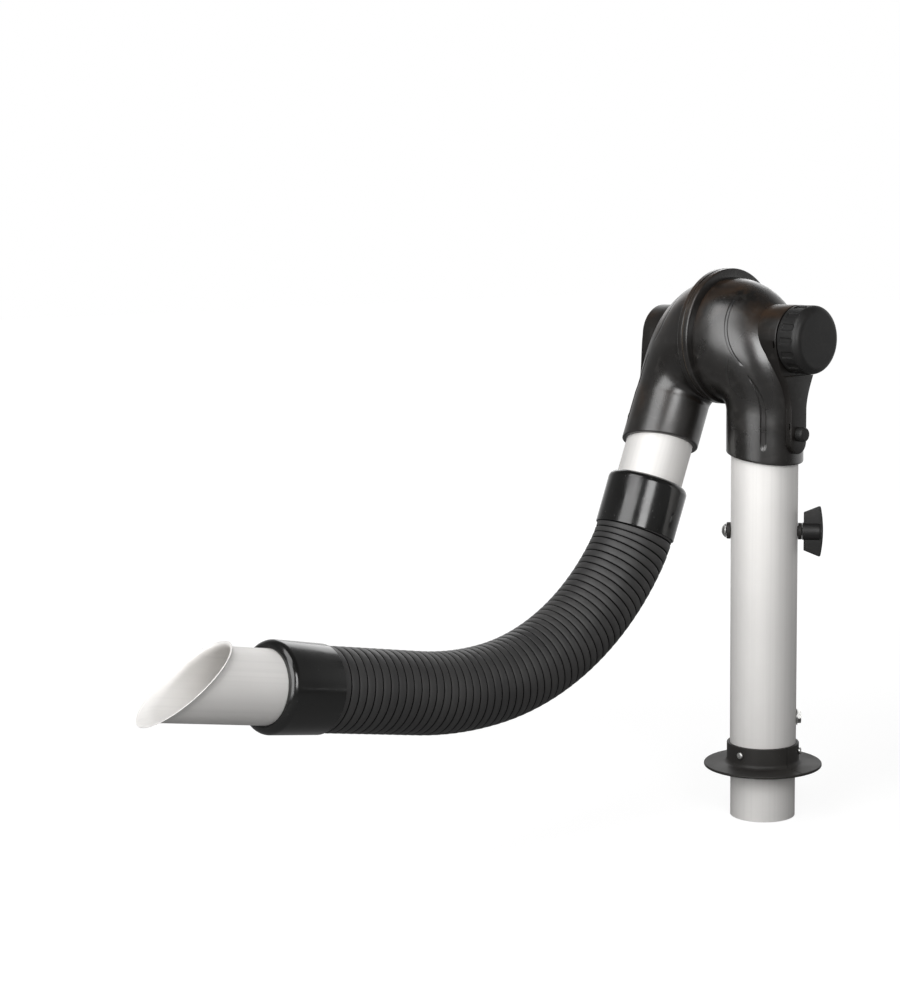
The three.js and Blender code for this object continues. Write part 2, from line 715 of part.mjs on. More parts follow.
const extractionArm = new THREE.Group();
extractionArm.add(
  piece("bench_flange", benchFlange(), nylon()),
  piece("spigot_tube", spigotTube(), anodised()),
  ...collarScrewAngles.map((angle, i) => piece(`collar_screw_${i + 1}`, collarScrew(angle), zinc())),
  piece("mast_tube", mastTube(), anodised()),
  piece("lock_washer", lockWasher(), zinc()),
  piece("lock_bolt", lockBolt(), zinc()),
  piece("damper_shaft", damperShaft(), steel()),
  piece("damper_disc", damperDisc(), anodised()),
  ...damperScrewSpots.map((x, i) => piece(`damper_screw_${i + 1}`, damperScrew(x), zinc())),
  piece("damper_bush_handle_side", damperBush(1), nylon()),
  piece("damper_bush_far_side", damperBush(-1), nylon()),
  piece("damper_cap_screw", damperCapScrew(), zinc()),
  piece("wing_handle", wingHandle(), knobBlack()),
  mastJoint,
  arm,
);

export default extractionArm;
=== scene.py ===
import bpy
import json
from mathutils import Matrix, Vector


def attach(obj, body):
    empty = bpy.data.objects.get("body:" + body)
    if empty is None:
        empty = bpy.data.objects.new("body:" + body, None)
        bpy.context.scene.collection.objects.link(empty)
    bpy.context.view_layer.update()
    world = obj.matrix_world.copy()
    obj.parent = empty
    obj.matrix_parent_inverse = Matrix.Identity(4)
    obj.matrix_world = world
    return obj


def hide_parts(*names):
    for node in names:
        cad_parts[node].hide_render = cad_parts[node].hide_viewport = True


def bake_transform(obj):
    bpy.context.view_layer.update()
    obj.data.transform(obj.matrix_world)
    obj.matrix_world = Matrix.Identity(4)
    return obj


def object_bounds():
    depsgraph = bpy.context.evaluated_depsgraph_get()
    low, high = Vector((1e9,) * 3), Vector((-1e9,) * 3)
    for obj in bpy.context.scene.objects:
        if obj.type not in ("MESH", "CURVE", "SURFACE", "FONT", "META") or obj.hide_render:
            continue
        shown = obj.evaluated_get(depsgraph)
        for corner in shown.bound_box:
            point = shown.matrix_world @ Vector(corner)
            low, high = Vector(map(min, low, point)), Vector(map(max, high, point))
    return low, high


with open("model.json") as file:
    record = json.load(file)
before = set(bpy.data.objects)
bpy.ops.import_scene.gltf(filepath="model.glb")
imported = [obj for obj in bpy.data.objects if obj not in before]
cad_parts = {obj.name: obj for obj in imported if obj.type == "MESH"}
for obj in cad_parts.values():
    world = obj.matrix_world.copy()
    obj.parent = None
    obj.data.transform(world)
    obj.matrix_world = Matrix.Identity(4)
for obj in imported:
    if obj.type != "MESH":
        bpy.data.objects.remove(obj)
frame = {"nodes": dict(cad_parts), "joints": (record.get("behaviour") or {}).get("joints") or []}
cadBox = [list(corner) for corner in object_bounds()]

import json
from math import atan2, cos, hypot, pi, radians, sin, tan

import bmesh
import bpy
from mathutils import Matrix, Vector
from mathutils.geometry import interpolate_bezier

scene = bpy.context.scene
joints = {joint["name"]: joint for joint in frame["joints"]}
print("frame loaded,", len(frame["nodes"]), "nodes")

# pieces are modelled in millimetres, each in its own place's frame, and finished in metres
toMetres = Matrix.Scale(0.001, 4)
jointHeight = joints["elbow_swing"]["pos_m"][2] * 1000
armOffset = joints["elbow_swing"]["pos_m"][1] * -2000  # the arm's line lies beside the mast's
armLean = 23.2  # degrees from straight down
tubeRadius = 37.5
gap = 0.3  # between pieces that fit together
mergeDistance = 0.001

onMast = Matrix.Translation((0, 0, jointHeight))
onArm = onMast @ Matrix.Rotation(radians(-armLean), 4, "Y")
mirrored = Matrix.Translation((0, -armOffset, 0)) @ Matrix.Scale(-1, 4, (0, 1, 0))
alongY = Matrix.Rotation(-pi / 2, 4, "X")


def outward(angle, height):
    turn = Matrix.Rotation(radians(angle), 4, "Z") @ Matrix.Rotation(pi / 2, 4, "Y")
    return Matrix.Translation((0, 0, height)) @ turn


def smoothStep(low, high, value):
    t = min(max((value - low) / (high - low), 0), 1)
    return t * t * (3 - 2 * t)


def quarterTurn(steps):
    return [pi / 2 * k / steps for k in range(steps + 1)]


# modelling helpers

def vertsOf(geom):
    return [part for part in geom if isinstance(part, bmesh.types.BMVert)]


def edgesOf(geom):
    return [part for part in geom if isinstance(part, bmesh.types.BMEdge)]


def everything(bm):
    return bm.verts[:] + bm.edges[:] + bm.faces[:]


def rounded(corners, steps=5):
    # outline corners are (r, z) or (r, z, rounding)
    points = []
    for i, corner in enumerate(corners):
        here = Vector(corner[:2])
        if len(corner) < 3:
            points.append(here)
            continue
        radius = corner[2]
        before = (Vector(corners[i - 1][:2]) - here).normalized()
        after = (Vector(corners[(i + 1) % len(corners)][:2]) - here).normalized()
        half = before.angle(after) / 2
        centre = here + (before + after).normalized() * (radius / sin(half))
        start = here + before * (radius / tan(half)) - centre
        end = here + after * (radius / tan(half)) - centre
        for k in range(steps + 1):
            points.append(centre + start.lerp(end, k / steps).normalized() * radius)
    return points


def spun(outline, steps):
    bm = bmesh.new()
    ring = [bm.verts.new((r, 0, z)) for r, z in outline]
    edges = [bm.edges.new(pair) for pair in zip(ring, ring[1:])]
    if outline[0][0] > 0 or outline[-1][0] > 0:
        edges.append(bm.edges.new((ring[-1], ring[0])))
    bmesh.ops.spin(bm, geom=ring + edges, axis=(0, 0, 1), cent=(0, 0, 0),
                   angle=2 * pi, steps=steps, use_merge=True)
    return tidied(bm)


def tidied(bm):
    bmesh.ops.remove_doubles(bm, verts=bm.verts, dist=mergeDistance)
    bmesh.ops.dissolve_degenerate(bm, edges=bm.edges, dist=mergeDistance / 2)
    bmesh.ops.recalc_face_normals(bm, faces=bm.faces)
    return bm


def section(centre, across, along):
    # the unit circle set in space by its centre and two half axes
    across, along = Vector(across), Vector(along)
    placed = Matrix((across, along, across.cross(along).normalized())).transposed().to_4x4()
    placed.translation = centre
    return placed


def loft(sections, sides):
    # extrude a ring from section to section and close the last on the first
    bm = bmesh.new()
    ring = bmesh.ops.create_circle(bm, radius=1, segments=sides, matrix=sections[0])["verts"]
    edges = list({edge for vert in ring for edge in vert.link_edges})
    rings, firstEdges = [ring], edges
    for before, after in zip(sections, sections[1:]):
        made = bmesh.ops.extrude_edge_only(bm, edges=edges)["geom"]
        ring, edges = vertsOf(made), edgesOf(made)
        bmesh.ops.transform(bm, matrix=after @ before.inverted(), verts=ring)
        rings.append(ring)
    bmesh.ops.bridge_loops(bm, edges=firstEdges + edges)
    bmesh.ops.recalc_face_normals(bm, faces=bm.faces)
    return bm, rings


def slab(outline, low, high, edge, segments):
    # an outline in X and Z, extruded along Y, with its rims rounded
    bm = bmesh.new()
    face = bm.faces.new([bm.verts.new((x, low, z)) for x, z in outline])
    top = vertsOf(bmesh.ops.extrude_face_region(bm, geom=[face])["geom"])
    bmesh.ops.translate(bm, verts=top, vec=(0, high - low, 0))
    tidied(bm)
    rims = [rim for rim in bm.edges if abs(rim.verts[0].co.y - rim.verts[1].co.y) < mergeDistance]
    bmesh.ops.bevel(bm, geom=rims, offset=edge, affect="EDGES", segments=segments,
                    profile=0.5, material=-1)
    return bm


def block(size, place):
    bm = bmesh.new()
    bmesh.ops.create_cube(bm, size=1, matrix=place @ Matrix.Diagonal((*size, 1)))
    return bm


def drill(radius, low, high, place, sides=32):
    bm = spun([(0, low), (radius, low), (radius, high), (0, high)], sides)
    bmesh.ops.transform(bm, matrix=place, verts=bm.verts)
    return bm


def carved(bm, tools, operation="DIFFERENCE"):
    # cut tools out of a piece, or join them to it
    def helper(shape):
        mesh = bpy.data.meshes.new("helper")
        tidied(shape).to_mesh(mesh)
        shape.free()
        made = bpy.data.objects.new("helper", mesh)
        scene.collection.objects.link(made)
        return made

    whole = helper(bm)
    cutters = [helper(tool) for tool in tools]
    for cutter in cutters:
        fit = whole.modifiers.new("fit", "BOOLEAN")
        fit.operation = operation
        fit.solver = "EXACT"
        fit.object = cutter
    result = bmesh.new()
    result.from_object(whole, bpy.context.evaluated_depsgraph_get())
    for made in [whole, *cutters]:
        mesh = made.data
        bpy.data.objects.remove(made)
        bpy.data.meshes.remove(mesh)
    return result


def finishPiece(name, bm, place, material, body, nodes, sharp=32):
    bmesh.ops.transform(bm, matrix=toMetres @ place, verts=bm.verts)
    bmesh.ops.recalc_face_normals(bm, faces=bm.faces)
    mesh = bpy.data.meshes.new(name)
    bm.to_mesh(mesh)
    bm.free()
    mesh.shade_smooth()
    mesh.set_sharp_from_angle(angle=radians(sharp))
    mesh.materials.append(material)
    piece = bpy.data.objects.new(name, mesh)
    scene.collection.objects.link(piece)
    if body:
        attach(piece, body)
    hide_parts(*nodes)
    return piece


# material helpers

def newMaterial(name, color, roughness, metallic=0.0):
    material = bpy.data.materials.new(name)
    material.use_nodes = True
    shader = material.node_tree.nodes["Principled BSDF"]
    shader.inputs["Base Color"].default_value = (*color, 1)
    shader.inputs["Roughness"].default_value = roughness
    shader.inputs["Metallic"].default_value = metallic
    return material, shader


def node(material, kind, values=None, **settings):
    made = material.node_tree.nodes.new(kind)
    for key, value in settings.items():
        setattr(made, key, value)
    for key, value in (values or {}).items():
        made.inputs[key].default_value = value
    return made


def link(material, source, target):
    material.node_tree.links.new(source, target)


def remap(material, source, fromRange, toRange=(0, 1)):
    made = node(material, "ShaderNodeMapRange")
    for key, value in zip(("From Min", "From Max", "To Min", "To Max"), (*fromRange, *toRange)):
        made.inputs[key].default_value = value
    link(material, source, made.inputs["Value"])
    return made.outputs["Result"]


def noise(material, layer, lean=0.0):
    # lean turns the pattern about Y, in degrees, to lie along a leaning piece
    coords = node(material, "ShaderNodeTexCoord")
    stretch = layer.get("stretch", (1, 1, 1))
    mapping = node(material, "ShaderNodeMapping",
                   {"Scale": [1 / s for s in stretch], "Rotation": (0, radians(lean), 0)},
                   vector_type="TEXTURE")
    texture = node(material, "ShaderNodeTexNoise",
                   {"Scale": layer["scale"], "Detail": layer["detail"],
                    "Distortion": layer.get("distortion", 0)})
    link(material, coords.outputs["Object"], mapping.inputs["Vector"])
    link(material, mapping.outputs["Vector"], texture.inputs["Vector"])
    return texture.outputs["Fac"]


def patches(material, layer, share=1.0, lean=0.0):
    # noise cut to the layer's range, from 0 to a share
    return remap(material, noise(material, layer, lean), layer["range"], (0, share))


def specks(material, scale, size):
    # sparse small dots, 1 inside and 0 outside
    coords = node(material, "ShaderNodeTexCoord")
    texture = node(material, "ShaderNodeTexVoronoi", {"Scale": scale})
    link(material, coords.outputs["Object"], texture.inputs["Vector"])
    return remap(material, texture.outputs["Distance"], (size, size / 2))


def product(material, first, second):
    made = node(material, "ShaderNodeMath", operation="MULTIPLY")
    link(material, first, made.inputs[0])
    link(material, second, made.inputs[1])
    return made.outputs[0]


def tint(material, factor, first, second):
    # first and second are colours or colour sockets; 6, 7 and 2 are the Mix node's colour sockets
    made = node(material, "ShaderNodeMix", data_type="RGBA")
    link(material, factor, made.inputs[0])
    for socket, value in ((made.inputs[6], first), (made.inputs[7], second)):
        if isinstance(value, tuple):
            socket.default_value = (*value, 1)
        else:
            link(material, value, socket)
    return made.outputs[2]


def bump(material, shader, height, distance, strength, under=None):
    made = node(material, "ShaderNodeBump", {"Strength": strength, "Distance": distance})
    link(material, height, made.inputs["Height"])
    if under:
        link(material, under, made.inputs["Normal"])
    link(material, made.outputs["Normal"], shader.inputs["Normal"])
    return made.outputs["Normal"]


# drawn tube, satin anodised: fine streaks along its length, faint clouding, a few long scratches
anodised = {
    "dark": (0.76, 0.745, 0.727), "light": (0.805, 0.79, 0.771), "metallic": 0.32, "roughness": (0.55, 0.65),
    "cloud": {"scale": 9, "detail": 3, "range": (0.35, 0.7)},
    "bands": {"scale": 190, "detail": 2, "stretch": (1, 1, 0.006), "range": (0.5, 0.75), "share": 0.2,
              "color": (0.58, 0.572, 0.56)},
    "scratches": {"scale": 170, "detail": 1, "stretch": (1, 1, 0.035), "distortion": 0.4,
                  "range": (0.74, 0.78), "share": 0.35, "color": (0.66, 0.654, 0.647)},
    "streaks": {"scale": 420, "detail": 2, "stretch": (1, 1, 0.012), "range": (0.3, 0.7),
                "bump": (0.00002, 0.5)},
}


def anodisedTube(name, lean):
    dark, light, roughness = anodised["dark"], anodised["light"], anodised["roughness"]
    material, shader = newMaterial(name, dark, roughness[0], anodised["metallic"])
    color = tint(material, patches(material, anodised["cloud"], 1, lean), dark, light)
    for layer in (anodised["bands"], anodised["scratches"]):
        color = tint(material, patches(material, layer, layer["share"], lean), color, layer["color"])
    link(material, color, shader.inputs["Base Color"])
    layer = anodised["streaks"]
    streaks = noise(material, layer, lean)
    link(material, remap(material, streaks, layer["range"], roughness), shader.inputs["Roughness"])
    bump(material, shader, streaks, *layer["bump"])
    return material


mastSilver = anodisedTube("mastSilver", 0)
armSilver = anodisedTube("armSilver", -armLean)
nozzleSilver = anodisedTube("nozzleSilver", 78.8)  # the arm's lean and the hose's bends, from straight up

# moulded black plastic: spark-eroded grain over a slow wave, uneven sheen and settled dust, and on the shells
# a painted warm reflection on what faces up
moulded = {
    "cloud": {"scale": 14, "detail": 4, "distortion": 0.6, "range": (0.35, 0.75)},
    "sheen": {"range": (0.3, 0.75), "spread": (-0.08, 0.12)},
    "paintedReflection": {"scale": 22, "detail": 3, "distortion": 1.0, "range": (0.42, 0.66), "upward": (0.1, 0.75)},
    "smudges": {"scale": 65, "detail": 6, "distortion": 0.9, "range": (0.54, 0.72), "share": 0.6,
                "color": (0.045, 0.042, 0.039)},
    "dust": {"scale": 40, "detail": 2, "range": (0.55, 0.7), "specks": (330, 0.13),
             "color": (0.2, 0.19, 0.18)},
    "wave": {"scale": 38, "detail": 1, "bump": (0.0006, 0.35)},
    "grain": {"scale": 900, "detail": 2, "strength": 0.6},
}
# the shells' warm brown colour below is a painted reflection, tinted onto what faces up
shellPlastic = {"dark": (0.0078, 0.0068, 0.006), "light": (0.0125, 0.011, 0.0098), "roughness": 0.31,
                "gloss": 0.9, "grain": 0.00006, "dust": 0.6, "paintedReflection": (0.034, 0.02, 0.0115)}
bracketPlastic = {**shellPlastic, "roughness": 0.36, "gloss": 0.45}
knobPlastic = {"dark": (0.009, 0.0087, 0.0085), "light": (0.014, 0.0135, 0.0132), "roughness": 0.48,
               "gloss": 0.42, "grain": 0.0001, "dust": 0.3}
flangePlastic = {"dark": (0.019, 0.0178, 0.0166), "light": (0.032, 0.03, 0.0278), "roughness": 0.5,
                 "gloss": 0.24, "grain": 0.0001, "dust": 0.4}
# thin arc that carries the shell's groove on round the dome, in metres in the shell's own frame; a dent with
# painted shade along it
domeLine = {"radius": 0.0574, "width": (0.0004, 0.0009), "color": (0.002, 0.002, 0.002),
            "bump": (0.0005, 0.8), "limits": (("X", 0.015, 0.025), ("Z", -0.028, -0.024), ("Z", 0.046, 0.04))}


def mouldLine(material, lean):
    # 1 on the line
    coords = node(material, "ShaderNodeTexCoord")
    local = node(material, "ShaderNodeMapping",
                 {"Location": (0, 0, jointHeight / 1000), "Rotation": (0, radians(lean), 0)},
                 vector_type="TEXTURE")
    link(material, coords.outputs["Object"], local.inputs["Vector"])
    across = node(material, "ShaderNodeVectorMath", {1: (1, 0, 1)}, operation="MULTIPLY")
    link(material, local.outputs["Vector"], across.inputs[0])
    radius = node(material, "ShaderNodeVectorMath", operation="LENGTH")
    link(material, across.outputs["Vector"], radius.inputs[0])
    spread = node(material, "ShaderNodeMath", {1: domeLine["radius"]}, operation="SUBTRACT")
    link(material, radius.outputs["Value"], spread.inputs[0])
    off = node(material, "ShaderNodeMath", operation="ABSOLUTE")
    link(material, spread.outputs[0], off.inputs[0])
    line = remap(material, off.outputs[0], domeLine["width"], (1, 0))
    parts = node(material, "ShaderNodeSeparateXYZ")
    link(material, local.outputs["Vector"], parts.inputs["Vector"])
    for output, low, high in domeLine["limits"]:
        line = product(material, line, remap(material, parts.outputs[output], (low, high)))
    return line


def upwardPaintedReflection(material):
    # painted reflection: warm patches on what faces up
    coords = node(material, "ShaderNodeTexCoord")
    parts = node(material, "ShaderNodeSeparateXYZ")
    link(material, coords.outputs["Normal"], parts.inputs["Vector"])
    upward = remap(material, parts.outputs["Z"], moulded["paintedReflection"]["upward"])
    return product(material, upward, patches(material, moulded["paintedReflection"]))


def mouldedPlastic(name, finish, lineLean=None):
    roughness, dust = finish["roughness"], finish["dust"]
    material, shader = newMaterial(name, finish["dark"], roughness)
    shader.inputs["Specular IOR Level"].default_value = finish["gloss"]
    cloud = noise(material, moulded["cloud"])
    clouded = remap(material, cloud, moulded["cloud"]["range"])
    color = tint(material, clouded, finish["dark"], finish["light"])
    # painted reflection: a warm brown tint on surfaces that face up
    if "paintedReflection" in finish:
        color = tint(material, upwardPaintedReflection(material), color, finish["paintedReflection"])
    smudges = patches(material, moulded["smudges"], dust * moulded["smudges"]["share"])
    color = tint(material, smudges, color, moulded["smudges"]["color"])
    dots = specks(material, *moulded["dust"]["specks"])
    dots = product(material, dots, patches(material, moulded["dust"], dust))
    color = tint(material, dots, color, moulded["dust"]["color"])
    spread = [roughness + part for part in moulded["sheen"]["spread"]]
    link(material, remap(material, cloud, moulded["sheen"]["range"], spread), shader.inputs["Roughness"])
    under = bump(material, shader, noise(material, moulded["wave"]), *moulded["wave"]["bump"])
    if lineLean is not None:
        line = mouldLine(material, lineLean)
        # painted shade: the line's dent tinted darker
        color = tint(material, line, color, domeLine["color"])
        under = bump(material, shader, remap(material, line, (0, 1), (1, 0)), *domeLine["bump"], under)
    link(material, color, shader.inputs["Base Color"])
    grain = noise(material, moulded["grain"])
    bump(material, shader, grain, finish["grain"], moulded["grain"]["strength"], under)
    return material


shellBlack = mouldedPlastic("shellBlack", bracketPlastic)
shellFinishes = {
    "mast": mouldedPlastic("lowerShellBlack", shellPlastic, 0),
    "arm": mouldedPlastic("upperShellBlack", shellPlastic, -armLean),
}
knobBlack = mouldedPlastic("knobBlack", knobPlastic)
flangeBlack = mouldedPlastic("flangeBlack", flangePlastic)

# dipped cuffs: nearly mirror black, with a slow wave in the skin and a few specks
cuffRubber = {
    "black": (0.006, 0.006, 0.0057), "gloss": 0.66, "roughness": (0.11, 0.24),
    "haze": {"scale": 25, "detail": 4, "range": (0.35, 0.7)},
    "specks": {"scale": 210, "size": 0.13, "range": (0.5, 0.62), "share": 0.7, "color": (0.12, 0.12, 0.12)},
    "wave": {"scale": 55, "detail": 1, "bump": (0.0004, 0.35)},
}


def glossyRubber(name):
    black, roughness, speck = cuffRubber["black"], cuffRubber["roughness"], cuffRubber["specks"]
    material, shader = newMaterial(name, black, roughness[0])
    shader.inputs["Specular IOR Level"].default_value = cuffRubber["gloss"]
    haze = noise(material, cuffRubber["haze"])
    dots = product(material, specks(material, speck["scale"], speck["size"]),
                   remap(material, haze, speck["range"], (0, speck["share"])))
    link(material, tint(material, dots, black, speck["color"]), shader.inputs["Base Color"])
    link(material, remap(material, haze, cuffRubber["haze"]["range"], roughness), shader.inputs["Roughness"])
    bump(material, shader, noise(material, cuffRubber["wave"]), *cuffRubber["wave"]["bump"])
    return material


# hose: matt bands; painted shade darkens the grooves, and they are dull there
hoseRubber = {
    "dark": (0.024, 0.0235, 0.0237), "light": (0.041, 0.04, 0.039), "roughness": (0.46, 0.6),
    "cloud": {"scale": 16, "detail": 4, "distortion": 0.5, "range": (0.3, 0.75), "sheen": (0.3, 0.7)},
    "groove": {"color": (0.002, 0.002, 0.002), "range": (0.15, 0.8), "glossRange": (0.2, 0.6),
               "gloss": (0.58, 0.03)},
    "grain": {"scale": 1100, "detail": 2, "bump": (0.00008, 0.6)},
}


def ribbedRubber(name):
    dark, light, roughness = hoseRubber["dark"], hoseRubber["light"], hoseRubber["roughness"]
    grooveShadeAndGloss = hoseRubber["groove"]
    material, shader = newMaterial(name, dark, roughness[0])
    depth = node(material, "ShaderNodeAttribute", attribute_name="grooveDepth").outputs["Fac"]
    cloud = noise(material, hoseRubber["cloud"])
    face = tint(material, remap(material, cloud, hoseRubber["cloud"]["range"]), dark, light)
    # painted shade: the grooves tinted towards black by their depth
    color = tint(material, remap(material, depth, grooveShadeAndGloss["range"]), face, grooveShadeAndGloss["color"])
    link(material, color, shader.inputs["Base Color"])
    gloss = remap(material, depth, grooveShadeAndGloss["glossRange"], grooveShadeAndGloss["gloss"])
    link(material, gloss, shader.inputs["Specular IOR Level"])
    sheen = remap(material, cloud, hoseRubber["cloud"]["sheen"], roughness)
    link(material, sheen, shader.inputs["Roughness"])
    bump(material, shader, noise(material, hoseRubber["grain"]), *hoseRubber["grain"]["bump"])
    return material


cuffBlack = glossyRubber("cuffBlack")
hoseBlack = ribbedRubber("hoseBlack")

# screws, washers and brass
plated = {
    "cloud": {"scale": 160, "detail": 4, "distortion": 0.8, "range": (0.4, 0.7)},
    "grain": {"scale": 1500, "detail": 2, "range": (0.3, 0.7), "spread": (-0.08, 0.1),
              "bump": (0.00003, 0.4)},
}


def platedSteel(name, light, dark, roughness):
    material, shader = newMaterial(name, light, roughness, 1.0)
    color = tint(material, patches(material, plated["cloud"]), light, dark)
    link(material, color, shader.inputs["Base Color"])
    layer = plated["grain"]
    grain = noise(material, layer)
    spread = [roughness + part for part in layer["spread"]]
    link(material, remap(material, grain, layer["range"], spread), shader.inputs["Roughness"])
    bump(material, shader, grain, *layer["bump"])
    return material


zincBright = platedSteel("zincBright", light=(0.74, 0.74, 0.72), dark=(0.56, 0.56, 0.55), roughness=0.38)
plainSteel = platedSteel("plainSteel", light=(0.5, 0.5, 0.51), dark=(0.36, 0.36, 0.37), roughness=0.38)
insertBrass = platedSteel("insertBrass", light=(0.69, 0.5, 0.24), dark=(0.5, 0.34, 0.15), roughness=0.34)

# friction lining and seal
fibre = {"dark": (0.05, 0.04, 0.03), "light": (0.14, 0.11, 0.08), "roughness": (0.75, 0.95),
         "threads": {"scale": 700, "detail": 4, "stretch": (1, 0.3, 1), "distortion": 1.5,
                     "range": (0.3, 0.7), "bump": (0.0001, 0.6)}}


def pressedFibre(name):
    material, shader = newMaterial(name, fibre["dark"], fibre["roughness"][0])
    layer = fibre["threads"]
    threads = noise(material, layer)
    link(material, tint(material, threads, fibre["dark"], fibre["light"]), shader.inputs["Base Color"])
    link(material, remap(material, threads, layer["range"], fibre["roughness"]), shader.inputs["Roughness"])
    bump(material, shader, threads, *layer["bump"])
    return material


fibreBrown = pressedFibre("fibreBrown")
print("finishes made")

# camera first, at the photograph's angle
view = {
    "aim": (0, 0, 0.2), "distance": 2.3662, "azimuth": 130.28, "elevation": 10.17, "lookAzimuth": 136.19,
    "lookElevation": 8.88, "roll": -0.54, "lens": 74.6, "sensor": 36, "shift": (-0.1003, 0.0419),
}


def fromAngles(azimuth, elevation):
    a, e = radians(azimuth), radians(elevation)
    return Vector((sin(a) * cos(e), -cos(a) * cos(e), sin(e)))


def addCamera():
    data = bpy.data.cameras.new("camera")
    data.lens = view["lens"]
    data.sensor_width = view["sensor"]
    data.shift_x, data.shift_y = view["shift"]
    camera = bpy.data.objects.new("camera", data)
    back = fromAngles(view["lookAzimuth"], view["lookElevation"])
    right = Vector((0, 0, 1)).cross(back).normalized()
    turn = Matrix((right, back.cross(right), back)).transposed().to_4x4()
    spot = Vector(view["aim"]) + view["distance"] * fromAngles(view["azimuth"], view["elevation"])
    camera.matrix_world = Matrix.Translation(spot) @ turn @ Matrix.Rotation(radians(view["roll"]), 4, "Z")
    scene.collection.objects.link(camera)
    scene.camera = camera


addCamera()

# hose route, from the end of the arm tube, in the arm's frame with -Z as the way along
duct = {
    "cuffStart": 176, "upperLip": 10, "upperLength": 61, "lowerLip": 15, "lowerLength": 66,
    "arcs": ((129, 13.3), (283, 49.8), (389, 14.9)), "lastStraight": 131,
}
insideCuff = duct["upperLength"] - duct["upperLip"] - gap
ductRuns = [(insideCuff, 0.0), *((r * radians(turn), radians(turn)) for r, turn in duct["arcs"]),
            (duct["lastStraight"] + insideCuff, 0.0)]
hoseLength = sum(length for length, turn in ductRuns)


def alongDuct(distance):
    x, z, angle, left = 0.0, -(duct["cuffStart"] + duct["upperLip"] + gap), 0.0, distance
    for i, (length, turn) in enumerate(ductRuns):
        last = i == len(ductRuns) - 1
        part = left if last else min(left, length)
        swing = turn * part / length
        chord = 2 * sin(swing / 2) * part / swing if swing else part
        x += chord * sin(angle + swing / 2)
        z -= chord * cos(angle + swing / 2)
        angle += swing
        left -= part
    return Matrix.Translation((x, -armOffset, z)) @ Matrix.Rotation(-angle, 4, "Y")


# the hose's wraps; bendStart and bendEnd set two points this far outside the cuffs, which makeHose works out
# and does not use further
hose = {"radius": 43.7, "bore": 41.2, "groove": 1.3, "turns": 60, "sides": 72, "boreSteps": 48,
        "merge": 0.01, "bendStart": 70, "bendEnd": 8}


def bandOutline(pitch):
    # one wrap, from the groove over the flat band to the next groove
    top, low = hose["radius"], hose["radius"] - hose["groove"]
    return [(low, 0), (low + 0.1, 0.5), (top - 0.4, 0.9), (top - 0.08, 1.3), (top, 1.9),
            (top - 0.14, pitch * 0.55), (top - 0.3, pitch - 1.3), (top - 0.6, pitch - 0.75),
            (low, pitch - 0.3), (low, pitch)]


def makeHose():
    pitch = hoseLength / hose["turns"]
    bm = bmesh.new()
    rib = [bm.verts.new((r, 0, z)) for r, z in bandOutline(pitch)]
    edges = [bm.edges.new(pair) for pair in zip(rib, rib[1:])]
    bmesh.ops.spin(bm, geom=rib + edges, axis=(0, 0, 1), cent=(0, 0, 0), angle=2 * pi,
                   dvec=(0, 0, pitch / hose["sides"]), steps=hose["sides"])
    wrap = everything(bm)
    bmesh.ops.translate(bm, verts=bm.verts, vec=(0, 0, -pitch))
    for i in range(hose["turns"] + 1):
        copy = bmesh.ops.duplicate(bm, geom=wrap)["geom"]
        bmesh.ops.translate(bm, verts=vertsOf(copy), vec=(0, 0, pitch * (i + 1)))
    bmesh.ops.remove_doubles(bm, verts=bm.verts, dist=hose["merge"])
    # square ends
    for z, side in ((0, -1), (hoseLength, 1)):
        bmesh.ops.bisect_plane(bm, geom=everything(bm), plane_co=(0, 0, z), plane_no=(0, 0, side),
                               clear_outer=True, dist=mergeDistance / 10)
    depth = bm.verts.layers.float.new("grooveDepth")
    for vert in bm.verts:
        vert[depth] = (hose["radius"] - hypot(vert.co.x, vert.co.y)) / hose["groove"]
    # end faces and bore
    rims = []
    for z in (0, hoseLength):
        ends = [edge for edge in bm.edges if edge.is_boundary
                and all(abs(vert.co.z - z) < mergeDistance for vert in edge.verts)]
        made = bmesh.ops.extrude_edge_only(bm, edges=ends)["geom"]
        for vert in vertsOf(made):
            vert.co.xy = vert.co.xy.normalized() * hose["bore"]
        rims += edgesOf(made)
    bore = bmesh.ops.bridge_loops(bm, edges=rims)["edges"]
    lengthways = [edge for edge in bore if abs(edge.verts[0].co.z - edge.verts[1].co.z) > hoseLength / 2]
    bmesh.ops.subdivide_edges(bm, edges=lengthways, cuts=hose["boreSteps"])
    bmesh.ops.recalc_face_normals(bm, faces=bm.faces)
    for vert in bm.verts:
        vert.co = alongDuct(vert.co.z) @ Vector((vert.co.x, vert.co.y, 0))
    piece = finishPiece("ribbedHose", bm, onArm, hoseBlack, None, ["ribbed_hose"], sharp=60)
    start = toMetres @ onArm @ alongDuct(insideCuff + hose["bendStart"]) @ Vector()
    end = toMetres @ onArm @ alongDuct(hoseLength - insideCuff - hose["bendEnd"]) @ Vector()
    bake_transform(piece)
    print("hose", len(piece.data.polygons), "faces")


makeHose()

# cuffs: rounded at the tube, thin at the hose; each has its front and rear radius
cuffs = {"upper": (45.8, 45.4), "lower": (46.9, 45.4), "bore": 37.8, "hoseBore": 44.0, "round": 8,
         "lipRound": 0.9, "rearRound": 0.5, "roundSteps": 8, "sides": 128}


def makeCuff(name, nodeName, length, lip, radii, place, body):
    front, rear = radii
    outline = rounded([
        (cuffs["bore"], -lip), (cuffs["bore"], 0, cuffs["lipRound"]), (front, 0, cuffs["round"]),
        (rear, -length, cuffs["rearRound"]), (cuffs["hoseBore"], -length), (cuffs["hoseBore"], -lip),
    ], cuffs["roundSteps"])
    finishPiece(name, spun(outline, cuffs["sides"]), place, cuffBlack, body, [nodeName])


